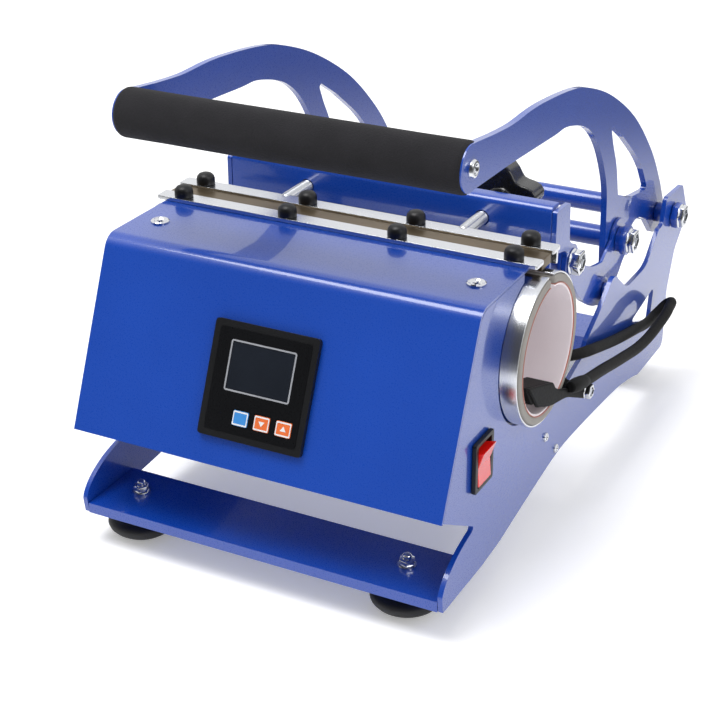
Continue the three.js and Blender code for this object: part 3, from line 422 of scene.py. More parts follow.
def screen_glass():
    """Unlit display behind a smooth lens."""
    finish = Finish("display_dark", Coat_Weight=0.6, Coat_Roughness=0.04)
    drift = finish.noise(40, 1)
    fine = finish.noise(1500, 1)
    return finish.set(
        Base_Color=finish.between(drift, srgb(18, 23, 32), srgb(28, 34, 44)),
        Roughness=0.2 + fine * 0.08,
    ).material


def printed(name, colour, pale):
    finish = Finish(name, Coat_Weight=0.3, Coat_Roughness=0.15)
    fine = finish.noise(1400, 2)
    drift = finish.noise(180, 1)
    return finish.set(
        Base_Color=finish.between(drift * 0.7, colour, pale),
        Roughness=0.4 + fine * 0.15,
        Normal=finish.bump(fine, 0.06, 0.0002),
    ).material


def rocker_red():
    """Clear red moulding; a faint glow of its own stands for the light that goes through it."""
    finish = Finish("rocker_red", Coat_Weight=0.8, Coat_Roughness=0.05, Emission_Strength=0.25)
    fine = finish.noise(900, 2)
    drift = finish.noise(90, 2)
    return finish.set(
        Base_Color=finish.between(drift, srgb(186, 8, 12), srgb(226, 20, 20)),
        Emission_Color=finish.between(drift, srgb(200, 10, 10), srgb(240, 40, 30)),
        Roughness=0.18 + fine * 0.1,
    ).material


CHROME = srgb(226, 228, 232)
STEEL = srgb(196, 198, 203)
FINISHES = {
    "coat": powder_coat(),
    "foam": foam(),
    "rubber": moulded("rubber_black", srgb(24, 24, 25), srgb(38, 38, 40), 0.62, 700, 0.2),
    "cap": moulded("cap_black", srgb(10, 10, 12), srgb(20, 20, 23), 0.42, 800, 0.12, Specular_IOR_Level=0.35),
    "plastic": moulded("plastic_black", srgb(9, 10, 13), srgb(16, 17, 21), 0.42, 1000, 0.14),
    "membrane": moulded("membrane_black", srgb(5, 6, 9), srgb(10, 11, 15), 0.3, 1500, 0.05),
    "lead": moulded("lead_black", srgb(15, 15, 16), srgb(32, 31, 31), 0.65, 520, 0.35,
                    Specular_IOR_Level=0.15),
    "boot": moulded("boot_black", srgb(8, 9, 10), srgb(17, 18, 19), 0.6, 650, 0.2, Specular_IOR_Level=0.12),
    "knob": moulded("knob_black", srgb(16, 16, 18), srgb(26, 26, 29), 0.28, 500, 0.08,
                    Coat_Weight=0.4, Coat_Roughness=0.1),
    "chrome": bright_metal("bolt_chrome", CHROME, 0.06, (300, 300, 300), 0.03),
    "strip": bright_metal("strip_polished", CHROME, 0.16, (10, 1400, 1400), 0.05),
    "rod": bright_metal("rod_zinc", STEEL, 0.2, (1400, 10, 1400), 0.08),
    "band": bright_metal("band_stainless", CHROME, 0.16, (1500, 14, 14), 0.03),
    "silicone": grained("silicone_grey", srgb(138, 134, 129), srgb(162, 158, 152), 0.5, 0.2,
                        (900, 3), (60, 3), 0.2, 0.0004),
    "liner": liner_cloth(),
    "seam": seam_metal(),
    "screen": screen_glass(),
    "sealant": printed("sealant_red", srgb(176, 104, 90), srgb(206, 140, 126)),
    "white_print": printed("print_white", srgb(214, 216, 220), srgb(236, 238, 240)),
    "grey_print": printed("print_grey", srgb(140, 142, 148), srgb(164, 166, 172)),
    "blue_print": printed("key_blue", srgb(38, 124, 200), srgb(70, 150, 216)),
    "orange_print": printed("key_orange", srgb(216, 96, 36), srgb(232, 120, 58)),
    "rocker": rocker_red(),
}


def fitted(piece, finish, body, slot, *nodes):
    """Gives a piece its finish and the body it rides on, and hides the solids it stands for; the slot is not
    used.
    """
    piece.data.materials.clear()
    piece.data.materials.append(FINISHES[finish])
    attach(piece, body)
    if nodes:
        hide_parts(*nodes)
    return piece


def painted(piece, body, *nodes):
    return fitted(piece, "coat", body, "blue_coat", *nodes)


def bright(piece, body, *nodes):
    return fitted(piece, "chrome", body, "bolt_chrome", *nodes)


# Planes and pivots of the machine, from the part's drawing
PLATE_OUT = 120.0
PLATE_IN = 117.0
BRACKET_OUT = 113.1
BRACKET_IN = 110.1
LINK_OUT = 109.8
LINK_IN = 107.8
ARM_OUT = 107.5
ARM_IN = 103.5
GAP = 0.3
LEVER_PIVOT = (385.5, 123.5)
ELBOW_PIVOT = (296.0, 135.5)
PRESS_PIVOT = (198.0, 156.5)
JAW_PIVOT = (262.0, 111.5)
GRIP_AXIS = (52.5, 261.6)
HEATER_AXIS = (115.9, 135.8)
COVER_TOP = 187.7
STRIP_TOP = 190.4
SIDES = {"right": 1, "left": -1}


def metres(points):
    return [((y + FRONT) * MM, z * MM) for y, z in points]


def pivot_at(pivot):
    return at(0, *pivot)


def mirrored(stations, side):
    return [(side * far, wide) for far, wide in stations]


# Sheet metal: plates, arms, links, jaw and cover

ARC_TURN = math.radians(27)
EVEN_TURN = 0.03
STRAIGHT = 0.9999995
LONG_EDGE = 2.2
HANDLE_SHARE = 0.3405
SHEET_TURN = math.radians(0.2)


def outlines(node, plane):
    """Closed outlines of a flat solid's face at one x plane, as (y, z) points."""
    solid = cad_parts[node]
    mesh = bmesh.new()
    mesh.from_mesh(solid.data)
    bmesh.ops.remove_doubles(mesh, verts=mesh.verts, dist=MERGE * MM)
    near = 2 * MERGE * MM
    flat = {face for face in mesh.faces if all(abs(vert.co.x - plane) < near for vert in face.verts)}
    after = {}
    for face in flat:
        for loop in face.loops:
            if sum(other in flat for other in loop.edge.link_faces) == 1:
                after[loop.vert.index] = loop.link_loop_next.vert.index
    mesh.verts.ensure_lookup_table()
    places = {vert.index: (vert.co.y, vert.co.z) for vert in mesh.verts}
    found = []
    while after:
        start = min(after)
        path = [start]
        step = after.pop(start)
        while step != start:
            path.append(step)
            step = after.pop(step)
        found.append([places[index] for index in path])
    mesh.free()
    return found


def straight_kept(path):
    """Drops the points that lie on a straight run."""
    kept = []
    for index, point in enumerate(path):
        before = Vector(path[index - 1])
        behind = Vector(path[(index + 1) % len(path)])
        here = Vector(point)
        if (here - before).normalized().dot((behind - here).normalized()) < STRAIGHT:
            kept.append(here)
    return kept


def bend_at(path, index):
    into = path[index] - path[index - 1]
    away = path[(index + 1) % len(path)] - path[index]
    turn = abs(into.angle_signed(away))
    return into, away, turn


def add_outline(curve, path):
    """One closed spline: true arcs where the points turn gently, corners where they don't."""
    spline = curve.splines.new("BEZIER")
    spline.bezier_points.add(len(path) - 1)
    turns = [bend_at(path, index)[2] for index in range(len(path))]
    circle = len(path) > 5 and max(turns) - min(turns) < EVEN_TURN
    for index, point in enumerate(spline.bezier_points):
        into, away, turn = bend_at(path, index)
        point.co = (*path[index], 0)
        point.handle_left_type = point.handle_right_type = "FREE"
        if turn > ARC_TURN and not circle:
            back, ahead = into.normalized(), away.normalized()
        elif into.length > LONG_EDGE * away.length:
            back = ahead = into.normalized()
        elif away.length > LONG_EDGE * into.length:
            back = ahead = away.normalized()
        else:
            back = ahead = (into.normalized() * away.length + away.normalized() * into.length).normalized()
        point.handle_left = (*(path[index] - back * into.length * HANDLE_SHARE), 0)
        point.handle_right = (*(path[index] + ahead * away.length * HANDLE_SHARE), 0)
    spline.use_cyclic_u = True
    return spline


def filled(name, paths, divisions=5):
    """A flat sheet cut to the outlines, lying in its own xy plane."""
    deselect()
    curve = bpy.data.curves.new(name, "CURVE")
    curve.dimensions = "2D"
    curve.fill_mode = "BOTH"
    curve.resolution_u = divisions
    for path in paths:
        add_outline(curve, [Vector(point) for point in path])
    take(linked(name, curve))
    bpy.ops.object.convert(target="MESH")
    return bpy.context.object


def thickened(piece, low, high, ease, segments=2):
    """Gives a flat sheet its thickness from low to high along its own z, and eases its edges."""
    take(piece)
    edit_all()
    bpy.ops.mesh.remove_doubles(threshold=SHEET_MERGE * MM)
    bpy.ops.mesh.dissolve_limited(angle_limit=SHEET_TURN)
    bpy.ops.mesh.select_all(action="SELECT")
    bpy.ops.transform.translate(value=(0, 0, low * MM))
    draw_out((0, 0, (high - low) * MM))
    bpy.ops.mesh.select_all(action="SELECT")
    bpy.ops.mesh.normals_make_consistent(inside=False)
    leave_edit()
    if ease:
        eased(piece, ease, segments, FOLD_TURN)
    return piece


ONTO_SIDE = Matrix(((0, 0, 1, 0), (1, 0, 0, 0), (0, 1, 0, 0), (0, 0, 0, 1)))


def side_piece(name, paths, inner, outer, side, ease, segments=2):
    """A flat piece standing across the machine, from inner to outer on one side."""
    piece = filled(name, paths)
    low, high = sorted((side * inner, side * outer))
    thickened(piece, low, high, ease, segments)
    piece.matrix_world = ONTO_SIDE
    return settled(piece, name, level=True)


def cut_plate(node, name, inner, outer, side, ease, redraw):
    """A plate cut to its solid's outlines, each of them redrawn by a function."""
    paths = [redraw(straight_kept(path)) for path in outlines(node, side * outer * MM)]
    return side_piece(name, paths, inner, outer, side, ease)


def arc(centre, radius, angles):
    """Points of a round about a centre, at angles in degrees."""
    return [(centre[0] + radius * math.cos(math.radians(angle)),
             centre[1] + radius * math.sin(math.radians(angle))) for angle in angles]


LUG_NEAR = 20.0
LUG_BORE = 6.0
LUG_RADIUS = 13.2


def slim_lug(path):
    """Draws the round end of a lever arm in to the strap's own width."""
    axis = Vector(metres([GRIP_AXIS])[0])
    slim = []
    for point in path:
        away = point - axis
        if LUG_BORE * MM < away.length < LUG_NEAR * MM:
            point = axis + away.normalized() * LUG_RADIUS * MM
        slim.append(point)
    return slim


TOE_BOX = ((-3, 21), (22, 51.5))
TOE = [(-0.6, 30.6), (0.1, 33.6), (2.6, 37.4), (8.0, 42.3), (13.5, 45.6), (19.3, 48.3), (27, 50.9),
       (34, 52.6)]


def within(path, box):
    """Which points of a side outline lie in a box given in millimetres from the front."""
    (near, far), (bottom, top) = box
    return [near < point[0] / MM - FRONT < far and bottom < point[1] / MM < top for point in path]


def redrawn(path, inside, points):
    """Puts points, listed from either end, in place of the part of an outline that is marked as inside."""
    if not any(inside) or all(inside):
        return path
    start = next(index for index in range(len(path)) if inside[index] and not inside[index - 1])
    order = [*range(start, len(path)), *range(start)]
    kept = [path[index] for index in order if not inside[index]]
    run = [Vector(point) for point in metres(points)]
    if (kept[-1] - run[0]).length > (kept[-1] - run[-1]).length:
        run.reverse()
    return run + kept


SADDLE_BOX = ((126.5, 205), (55, 88.2))
SADDLE_LOW = (178, 80)
SADDLE_STEP = (206, 88.1)
SADDLE_REACH = 5.0
SADDLE_PARTS = 8
CRADLE_RADIUS = 47.1
CRADLE_ANGLES = (-50, -56, -62, -68, -73)


def saddle_and_toe(path):
    """Lifts the low point of the cut behind the heater, lets its cradle run on below it, and draws
    the front toe in as a lower and longer bow."""
    cradle = arc(HEATER_AXIS, CRADLE_RADIUS, CRADLE_ANGLES)
    low = Vector(SADDLE_LOW)
    into = low + (Vector(SADDLE_STEP) - low).normalized() * SADDLE_REACH
    away = low + (Vector(cradle[0]) - low).normalized() * SADDLE_REACH
    shares = [step / SADDLE_PARTS for step in range(SADDLE_PARTS + 1)]
    bend = [into * (1 - share) ** 2 + low * 2 * share * (1 - share) + away * share ** 2 for share in shares]
    path = redrawn(path, within(path, SADDLE_BOX), [tuple(point) for point in bend] + cradle)
    return redrawn(path, within(path, TOE_BOX), TOE)


# The bracket's arm bows below the straight line between its two pivots
ARM_TOP = [(207.4, 161.8), (208.8, 156.5), (211.5, 150.2), (219, 144.2), (229, 139.3), (241, 132.5),
           (252, 124.5)]
ARM_LOW = [(247, 107.2), (234, 113.6), (221, 121.5), (210, 131), (201, 141), (195.5, 146)]
HEEL_RADIUS = 9.4
HEEL_ANGLES = (75, 50, 25, 0, -25, -50, -75, -100, -120)
HULL_RADIUS = 14.3


def bowed_arm(path):
    """Puts the bowed arm in place of the straight-sided hull round the jaw's pin."""
    pin = Vector(metres([JAW_PIVOT])[0])
    inside = [(point - pin).length < HULL_RADIUS * MM for point in path]
    return redrawn(path, inside, ARM_TOP + arc(JAW_PIVOT, HEEL_RADIUS, HEEL_ANGLES) + ARM_LOW)


def sheet_metal():
    plates = (
        ("side_plate", "base", PLATE_IN, PLATE_OUT, 0.5, saddle_and_toe),
        ("lever_arm", "lever", ARM_IN, ARM_OUT, 0.9, slim_lug),
        ("toggle_link", "links", LINK_IN, LINK_OUT, 0.4, list),
        ("jaw_bracket", "jaw", BRACKET_IN, BRACKET_OUT, 0.5, bowed_arm),
    )
    for stem, body, inner, outer, ease, redraw in plates:
        for name, side in SIDES.items():
            node = f"{stem}_{name}"
            plate = cut_plate(node, f"{node}_coated", inner, outer, side, ease, redraw)
            painted(plate, body, node)
    sheets = (
        ("front_foot_plate", "base", 0.5), ("rear_foot_plate", "base", 0.5),
        ("front_cover", "base", 0.3), ("floor_pan", "base", 0.3), ("pressure_plate", "jaw", 0.5),
    )
    for node, body, ease in sheets:
        painted(folded(node, f"{node}_coated", ease), body, node)


TUBE_BORE = 4.3


def cross_tubes():
    half = ARM_IN - GAP
    tubes = (("upper_cross_tube", LEVER_PIVOT, 7.3), ("lower_cross_tube", ELBOW_PIVOT, 7.0))
    for node, pivot, radius in tubes:
        section = [(-half, TUBE_BORE), (-half, radius), (half, radius), (half, TUBE_BORE)]
        tube = ring(f"{node}_coated", "X", pivot_at(pivot), section, 56, 0.4)
        painted(tube, "lever", node)


# Bolts: painted collars, bright hexagon heads and the shanks between them

HEAD_ACROSS = 8.2
HEAD_FLANGE = 1.4
SOCKET_RADIUS = 2.6
SOCKET_DEPTH = 2.4
CROWN_RISE = 0.5
CROWN_SHARES = (0.86, 0.72)
# How wide the top of the crown is, as a share of the head
CROWN_TOP = 0.62
HEX_EASE = 25
# How nearly a face must point outwards, and lie in its plane, to be picked
FACE_TILT = 0.02
FACE_NEAR = 0.1


def hexagon(across, height, place, turn):
    """A six-sided blank."""
    deselect()
    bpy.ops.mesh.primitive_cylinder_add(
        vertices=6, radius=across * MM, depth=height * MM, location=place, rotation=turn)
    piece = bpy.context.object
    apply_rest(piece)
    return piece


def hexagon_head(name, pivot, side, inner, height, across=HEAD_ACROSS, flange=HEAD_FLANGE,
                 socket=SOCKET_RADIUS):
    """A bright hexagon head with a crowned face, a flange under it and a socket in it."""
    centre = at(side * (inner + height / 2), *pivot)
    piece = hexagon(across, height, centre, (0, side * math.pi / 2, 0))
    face_x = side * (inner + height) * MM
    crown, rim = CROWN_SHARES
    to_socket = socket / across / CROWN_TOP
    for rise, ratio in ((0.0, crown), (CROWN_RISE, rim), (0.0, to_socket), (-SOCKET_DEPTH, 1.0)):
        leave_edit()
        pick_faces(piece, lambda face: abs(face.normal.x * side - 1) < FACE_TILT
                   and abs(face.center.x - face_x) < FACE_NEAR * MM)
        bpy.ops.object.mode_set(mode="EDIT")
        draw_out((side * rise * MM, 0, 0))
        face_x += side * rise * MM
        place = Vector((face_x, centre.y, centre.z))
        bpy.ops.transform.resize(value=(1, ratio, ratio), center_override=place)
    leave_edit()
    eased(piece, 0.45, 2, HEX_EASE)
    plate = turned(f"{name}_flange", "X", pivot_at(pivot), mirrored([
        (inner, across * 1.02), (inner + flange * 0.4, across * 1.02), (inner + flange, across * 0.9)],
        side), 40, 0.15)
    joined(piece, plate)
    return settled(piece, name, 30)


def pick_faces(piece, wanted):
    take(piece)
    bpy.ops.object.mode_set(mode="EDIT")
    bpy.ops.mesh.select_mode(type="FACE")
    bpy.ops.mesh.select_all(action="DESELECT")
    leave_edit()
    for face in piece.data.polygons:
        face.select = wanted(face)


def joined(first, *others):
    deselect()
    for piece in (first, *others):
        piece.select_set(True)
    bpy.context.view_layer.objects.active = first
    bpy.ops.object.join()
    return first


def hexagon_nut(name, pivot, side, inner, height, across):
    """A painted nut: six sided, chamfered on both faces."""
    piece = hexagon(across, height, at(side * (inner + height / 2), *pivot), (0, side * math.pi / 2, 0))
    eased(piece, 0.8, 3, HEX_EASE)
    return settled(piece, name, 30)


SHANK_RADIUS = 4
# How far a shank or boss starts inside the arm
SHANK_RUN = 12
SPACER_RADIUS = 7
COLLAR_HEIGHT = 4.7
BOSS_NECK = (3.4, 8.6)
BOSS_HEAD = (7.6, 9.8)
NUT_HEIGHT = 6.6
PIN_RADIUS = (5, 6.2)
DOME_STATIONS = [(1.2, 5.2), (2.2, 4.5), (2.5, 3.6), (2.4, 3.0), (0.9, 2.7), (0.8, 0)]


def pivot_piece(name, pivot, side, stations, sides, ease=0.0, ease_angle=SMOOTH_TURN):
    """A turned piece on a pivot, its stations counted outwards."""
    return turned(name, "X", pivot_at(pivot), mirrored(stations, side), sides, ease, ease_angle)


def pivot_bolts():
    inside = ARM_IN - SHANK_RUN
    spacer = [
        (inside, SHANK_RADIUS), (ARM_OUT + GAP, SHANK_RADIUS), (ARM_OUT + GAP, SPACER_RADIUS),
        (PLATE_IN - GAP, SPACER_RADIUS), (PLATE_IN - GAP, SHANK_RADIUS), (PLATE_OUT + 1, SHANK_RADIUS)]
    boss = [
        (inside, SHANK_RADIUS), (LINK_OUT + GAP, SHANK_RADIUS), (LINK_OUT + GAP, BOSS_NECK[1]),
        (LINK_OUT + BOSS_NECK[0], BOSS_NECK[1]), (LINK_OUT + BOSS_NECK[0], BOSS_HEAD[1]),
        (LINK_OUT + BOSS_HEAD[0], BOSS_HEAD[1])]
    shank = [(LINK_IN - GAP - 7.4, SHANK_RADIUS), (BRACKET_OUT + GAP + 1, SHANK_RADIUS)]
    pin = [(BRACKET_IN, PIN_RADIUS[0]), (BRACKET_OUT + GAP, PIN_RADIUS[0]),
           (BRACKET_OUT + GAP, PIN_RADIUS[1]), (PLATE_IN - GAP, PIN_RADIUS[1])]
    screw = [(inside, SHANK_RADIUS), (ARM_OUT + GAP + 0.5, SHANK_RADIUS)]
    dome = [(ARM_OUT, 5.3)] + [(ARM_OUT + GAP + out, radius) for out, radius in DOME_STATIONS]
    nut_in = LINK_IN - GAP - NUT_HEIGHT
    collar_in = PLATE_OUT + GAP
    for name, side in SIDES.items():
        painted(pivot_piece(f"lever_bolt_{name}_spacer", LEVER_PIVOT, side, spacer, 40, 0.3), "base")
        collar = hexagon_nut(f"lever_bolt_{name}_collar", LEVER_PIVOT, side, collar_in, COLLAR_HEIGHT, 9.4)
        painted(collar, "base")
        bright(hexagon_head(f"lever_bolt_{name}_head", LEVER_PIVOT, side, collar_in + COLLAR_HEIGHT, 3.8),
               "base", f"lever_bolt_{name}")

        painted(pivot_piece(f"elbow_bolt_{name}_boss", ELBOW_PIVOT, side, boss, 44, 0.4), "lever")
        bright(hexagon_head(f"elbow_bolt_{name}_head", ELBOW_PIVOT, side, LINK_OUT + BOSS_HEAD[0], 4.7),
               "lever", f"elbow_bolt_{name}")

        painted(hexagon_nut(f"press_bolt_{name}_nut", PRESS_PIVOT, side, nut_in, NUT_HEIGHT, 9.2), "jaw")
        bright(pivot_piece(f"press_bolt_{name}_shank", PRESS_PIVOT, side, shank, 32), "jaw")
        bright(hexagon_head(f"press_bolt_{name}_head", PRESS_PIVOT, side, BRACKET_OUT + GAP, 6.2),
               "jaw", f"press_bolt_{name}")

        painted(pivot_piece(f"jaw_pin_{name}_boss", JAW_PIVOT, side, pin, 40, 0.3), "base", f"jaw_pin_{name}")

        bright(pivot_piece(f"grip_screw_{name}_shank", GRIP_AXIS, side, screw, 32), "lever")
        bright(pivot_piece(f"grip_screw_{name}_head", GRIP_AXIS, side, dome, 36, 0.15, 60),
               "lever", f"grip_screw_{name}")


# Grip

def grip():
    half = ARM_OUT - 0.8
    mouth = ARM_IN - GAP
    waist = half - 30
    section = [
        (-mouth, 9.8), (-mouth, 12.6), (-half, 12.6), (-half + 0.2, 13.5), (-half + 1.0, 14.2),
        (-half + 2.4, 14.5), (-waist, 14.3), (0, 14.4), (waist, 14.3), (half - 2.4, 14.5), (half - 1.0, 14.2),
        (half - 0.2, 13.5), (half, 12.6), (mouth, 12.6), (mouth, 9.8)]
    sleeve = ring("grip_foam_sleeve", "X", pivot_at(GRIP_AXIS), section, 80)
    fitted(sleeve, "foam", "lever", "foam_black", "grip_foam")
    tube = ring("grip_tube_steel", "X", pivot_at(GRIP_AXIS),
                [(-mouth, TUBE_BORE), (-mouth, 9.5), (mouth, 9.5), (mouth, TUBE_BORE)], 48)
    fitted(tube, "rod", "lever", "tube_steel", "grip_tube")


# Heater: band, sleeve, sealing line and liner, all split at the top

SPLIT_FRONT = 4.5
SPLIT_REAR = 11.0


def split_tube(name, outer, inner, half, ease, steps=150):
    """A long tube with a slit along its top, bent round from a flat strip's end section."""
    deselect()
    start = math.acos(SPLIT_FRONT / outer)
    sweep = 2 * math.pi - (start - math.acos(SPLIT_REAR / outer))
    centre = pivot_at(HEATER_AXIS)
    bpy.ops.mesh.primitive_plane_add(size=1, location=(0, 0, 0))
    piece = bpy.context.object
    apply_rest(piece)
    section = ((-half, inner), (half, inner), (-half, outer), (half, outer))
    for vertex, (x, radius) in zip(piece.data.vertices, section):
        vertex.co = centre + Vector((x, radius * math.cos(start), radius * math.sin(start))) * MM
    edit_all()
    bpy.ops.mesh.spin(steps=steps, angle=sweep, center=centre, axis=(1, 0, 0), dupli=False)
    leave_edit()
    closed_ends(piece)
    if ease:
        eased(piece, ease, 3, 60)
    return settled(piece, name, 50)


def closed_ends(piece):
    """Closes the two ends that a spun strip leaves open."""
    take(piece)
    edit_all()
    bpy.ops.mesh.remove_doubles(threshold=STRIP_MERGE * MM)
    bpy.ops.mesh.select_mode(type="EDGE")
    bpy.ops.mesh.select_all(action="DESELECT")
    bpy.ops.mesh.select_non_manifold(extend=False, use_wire=True, use_boundary=True,
                                     use_multi_face=False, use_non_contiguous=False, use_verts=False)
    bpy.ops.mesh.edge_face_add()
    leave_edit()


def heater():
    band = split_tube("heater_band_rolled", 45.9, 44.7, 130.4, 0.35)
    fitted(band, "band", "base", "band_steel", "heater_band")
    sleeve = split_tube("heater_sleeve_moulded", 44.4, 39.6, 131.6, 1.1)
    fitted(sleeve, "silicone", "base", "silicone_grey", "heater_sleeve")
    seal = split_tube("heater_seal_line", 39.68, 39.25, 131.7, 0.08, 120)
    fitted(seal, "sealant", "base", "liner_white")
    liner = split_tube("heater_liner_bonded", 39.3, 37.9, 131.1, 0.4)
    fitted(liner, "liner", "base", "liner_white", "heater_liner")


# Points (y, z) of the flat boot at the mouth of the heater and its strap
BOOT_BODY = [(79.6, 127.5), (118.3, 114.2), (124.6, 108.2), (117.6, 104.4), (91.6, 111.4)]
BOOT_STRAP = [(79.6, 127.5), (100, 120.6), (117.5, 114.6), (123, 109), (129, 105.1), (143, 99.2), (160, 92.6),
              (172, 88.6), (178.5, 87.0), (181.6, 83), (180, 78.8), (175, 77.6), (160, 85), (141, 93.6),
              (130, 96.4), (118, 99.4), (95, 108.8)]
STRAP_SCREW = (176.9, 82.3)
STRAP_OUT = 134.5
BOOT_IN = 117.0
BOOT_OUT = 132.3
STRAP_IN = 131.9
NOSE_STATIONS = [(-13, 0), (-13, 2.4), (-12.2, 3.3), (-8, 4.1), (0, 4.5), (9, 4.3), (17, 3.7)]
NOSE_AHEAD = 3
SMALL_SCREWS = ((147.8, 60.3), (166.8, 43.2))


def heater_boot():
    body = side_piece("lead_boot_body", [metres(BOOT_BODY)], BOOT_IN, BOOT_OUT, 1, 1.1, segments=3)
    strap = side_piece("lead_boot_strap", [metres(BOOT_STRAP)], STRAP_IN, STRAP_OUT, 1, 0.9, segments=3)
    post = turned("lead_boot_post", "X", pivot_at(STRAP_SCREW), [
        (PLATE_OUT, 0), (PLATE_OUT, 5.2), (PLATE_OUT + 1, 4.2), (STRAP_IN + 0.5, 4.0)], 32, 0.3)
    joined(strap, body, post)
    fitted(settled(strap, "lead_boot_moulded"), "boot", "base", "lead_black", "lead_boot")
    nose = turned("lead_nose", "Z", Vector((0, 0, 0)), NOSE_STATIONS, 36, 0.3)
    start = at(*LEAD_ROUTE[0])
    aim = (at(*LEAD_ROUTE[1]) - start).normalized()
    ahead = Matrix.Translation(start + aim * NOSE_AHEAD * MM)
    nose.matrix_world = ahead @ aim.to_track_quat("Z", "Y").to_matrix().to_4x4()
    fitted(settled(nose, "lead_nose", 40), "boot", "base", "lead_black")


def heater_lead():
    data = bpy.data.curves.new("heater_lead_cable", "CURVE")
    data.dimensions = "3D"
    data.resolution_u = LEAD_DIVISIONS
    data.bevel_depth = LEAD_RADIUS * MM
    data.bevel_resolution = LEAD_SIDES
    data.use_fill_caps = True
    spline = data.splines.new("BEZIER")
    spline.bezier_points.add(len(LEAD_ROUTE) - 1)
    for point, place in zip(spline.bezier_points, LEAD_ROUTE):
        point.co = at(*place)
        point.handle_left_type = point.handle_right_type = "AUTO"
    cable = linked("heater_lead_cable", data)
    bpy.context.view_layer.update()
    fitted(cable, "lead", "base", "lead_black", "heater_lead")
    heater_boot()


def plate_screws():
    """Small bright screws in the right side plate, and the hexagon that holds the strap's end."""
    for number, (y, z) in enumerate(SMALL_SCREWS, 1):
        screw = turned(f"plate_screw_{number}", "X", at(0, y, z), [
            (PLATE_OUT - 1, 2), (PLATE_OUT, 2.9), (PLATE_OUT + 0.9, 2.8), (PLATE_OUT + 1.5, 2.2),
            (PLATE_OUT + 1.4, 1.5), (PLATE_OUT + 0.6, 1.3), (PLATE_OUT + 0.6, 0)], 28, 0.1, 60)
        bright(screw, "base")
    bright(hexagon_head("strap_bolt", STRAP_SCREW, 1, STRAP_OUT, 3.6, 4.9, 0.9, 2.2), "base")


# Clamp strips with the caps over their screws, and the seam between them

CAP_ROWS = (("front", "base"), ("rear", "carriage"))
CAP_STATIONS = [(-6, 0), (-6, 2.2), (0, 2.2), (0, 5.5), (0.6, 5.8), (3.6, 5.75), (5.2, 5.3), (6.4, 4.3),
                (7.1, 2.9), (7.4, 1.2), (7.4, 0)]


def clamp_caps():
    for row, body in CAP_ROWS:
        for number in range(1, 5):
            node = f"cap_{row}_{number}"
            stations = [(STRIP_TOP + up, radius) for up, radius in CAP_STATIONS]
            cap = turned(f"{node}_dome", "Z", middle_of(node, "Z"), stations, 32, 0.25, 50)
            fitted(cap, "cap", body, "cap_black", node)


def clamp_strips():
    for row, body in CAP_ROWS:
        node = f"{row}_clamp_strip"
        fitted(folded(node, f"{node}_polished", 0.35), "strip", body, "rod_steel", node)
    # The seam bar's dark brown is partly painted shade of the gap between the two strips.
    fitted(folded("seam_bar", "seam_bar_brown_shaded", 0.5), "seam", "base", "seam_brown", "seam_bar")


# Cover screws: dished heads with a cross recess

def cross_cut(piece, centre, size, width, depth):
    """Cuts a cross recess down into a screw head that faces up."""
    for long, broad in ((size, width), (width, size)):
        deselect()
        bpy.ops.mesh.primitive_cube_add(size=1, location=centre)
        cutter = bpy.context.object
        cutter.scale = (long * MM, broad * MM, depth * MM)
        apply_rest(cutter)
        apply(piece, "BOOLEAN", object=cutter, operation="DIFFERENCE", solver="EXACT")
        bpy.data.objects.remove(cutter)
    return piece


SCREW_STATIONS = [(-2, 0), (-2, 2.4), (0, 2.4), (0.1, 5.7), (0.9, 5.6), (1.4, 4.9), (1.1, 4.1), (0.35, 3.2),
                  (0.2, 2.2), (0.3, 0)]


def cover_screws():
    for name in SIDES:
        node = f"cover_screw_{name}"
        middle = middle_of(node, "Z")
        stations = [(COVER_TOP + up, radius) for up, radius in SCREW_STATIONS]
        screw = turned(f"{node}_dished", "Z", middle, stations, 40, 0.12, 60)
        cross_cut(screw, middle + Vector((0, 0, (COVER_TOP + 0.5) * MM)), 4.6, 1.1, 2.6)
        bright(settled(screw, f"{node}_dished", 30), "base", node)


# Feet: rubber bowls on studs that stand through the foot plates

# The height of the foot plate's upper face over each foot
FEET = {"foot_front_right": 28.2, "foot_front_left": 28.2, "foot_rear_right": 36.0, "foot_rear_left": 36.0}
BOWL_STATIONS = [(0.9, 0), (0.9, 8.8), (0.0, 9.6), (0.0, 11.4), (0.6, 12.6), (2.6, 15.9), (5.0, 19.2),
                 (7.0, 20.9), (8.8, 21.5), (10.4, 21.3), (11.6, 20.4), (12.3, 18.6), (12.9, 15.4),
                 (14.2, 11.6), (16.4, 9.4), (19.3, 8.5), (19.5, 7.9), (19.5, 0)]
STUD_LOW = 19.0
STUD_RADIUS = 2.7
WASHER_HEIGHT = 0.7
STUD_NUT_TURN = 0.35


def feet():
    for node, top in FEET.items():
        middle = middle_of(node, "Z")
        bowl = turned(f"{node}_bowl", "Z", middle, BOWL_STATIONS, 64, 0.3, 60)
        fitted(bowl, "rubber", "base", "rubber_black", node)
        stud = turned(f"{node}_stud", "Z", middle, [
            (STUD_LOW, 0), (STUD_LOW, STUD_RADIUS), (top + 6.6, STUD_RADIUS), (top + 7.4, 2.0),
            (top + 7.4, 0)], 28, 0.1)
        washer = turned(f"{node}_washer", "Z", middle, [
            (top, 2.9), (top, 5.6), (top + WASHER_HEIGHT, 5.6), (top + WASHER_HEIGHT, 2.9)], 32)
        nut = hexagon(5.0, 3.8, middle + Vector((0, 0, (top + 2.6) * MM)), (0, 0, STUD_NUT_TURN))
        eased(nut, 0.6, 2, HEX_EASE)
        joined(stud, washer, nut)
        bright(settled(stud, f"{node}_stud", 30), "base")


# Star knobs on the adjusting rods

def star_knobs():
    for name in SIDES:
        node = f"star_knob_{name}"
        fitted(folded(node, f"{node}_moulded", 1.6, segments=4, angle=32, sharp=50), "knob", f"knob_{name}",
               "knob_black", node)


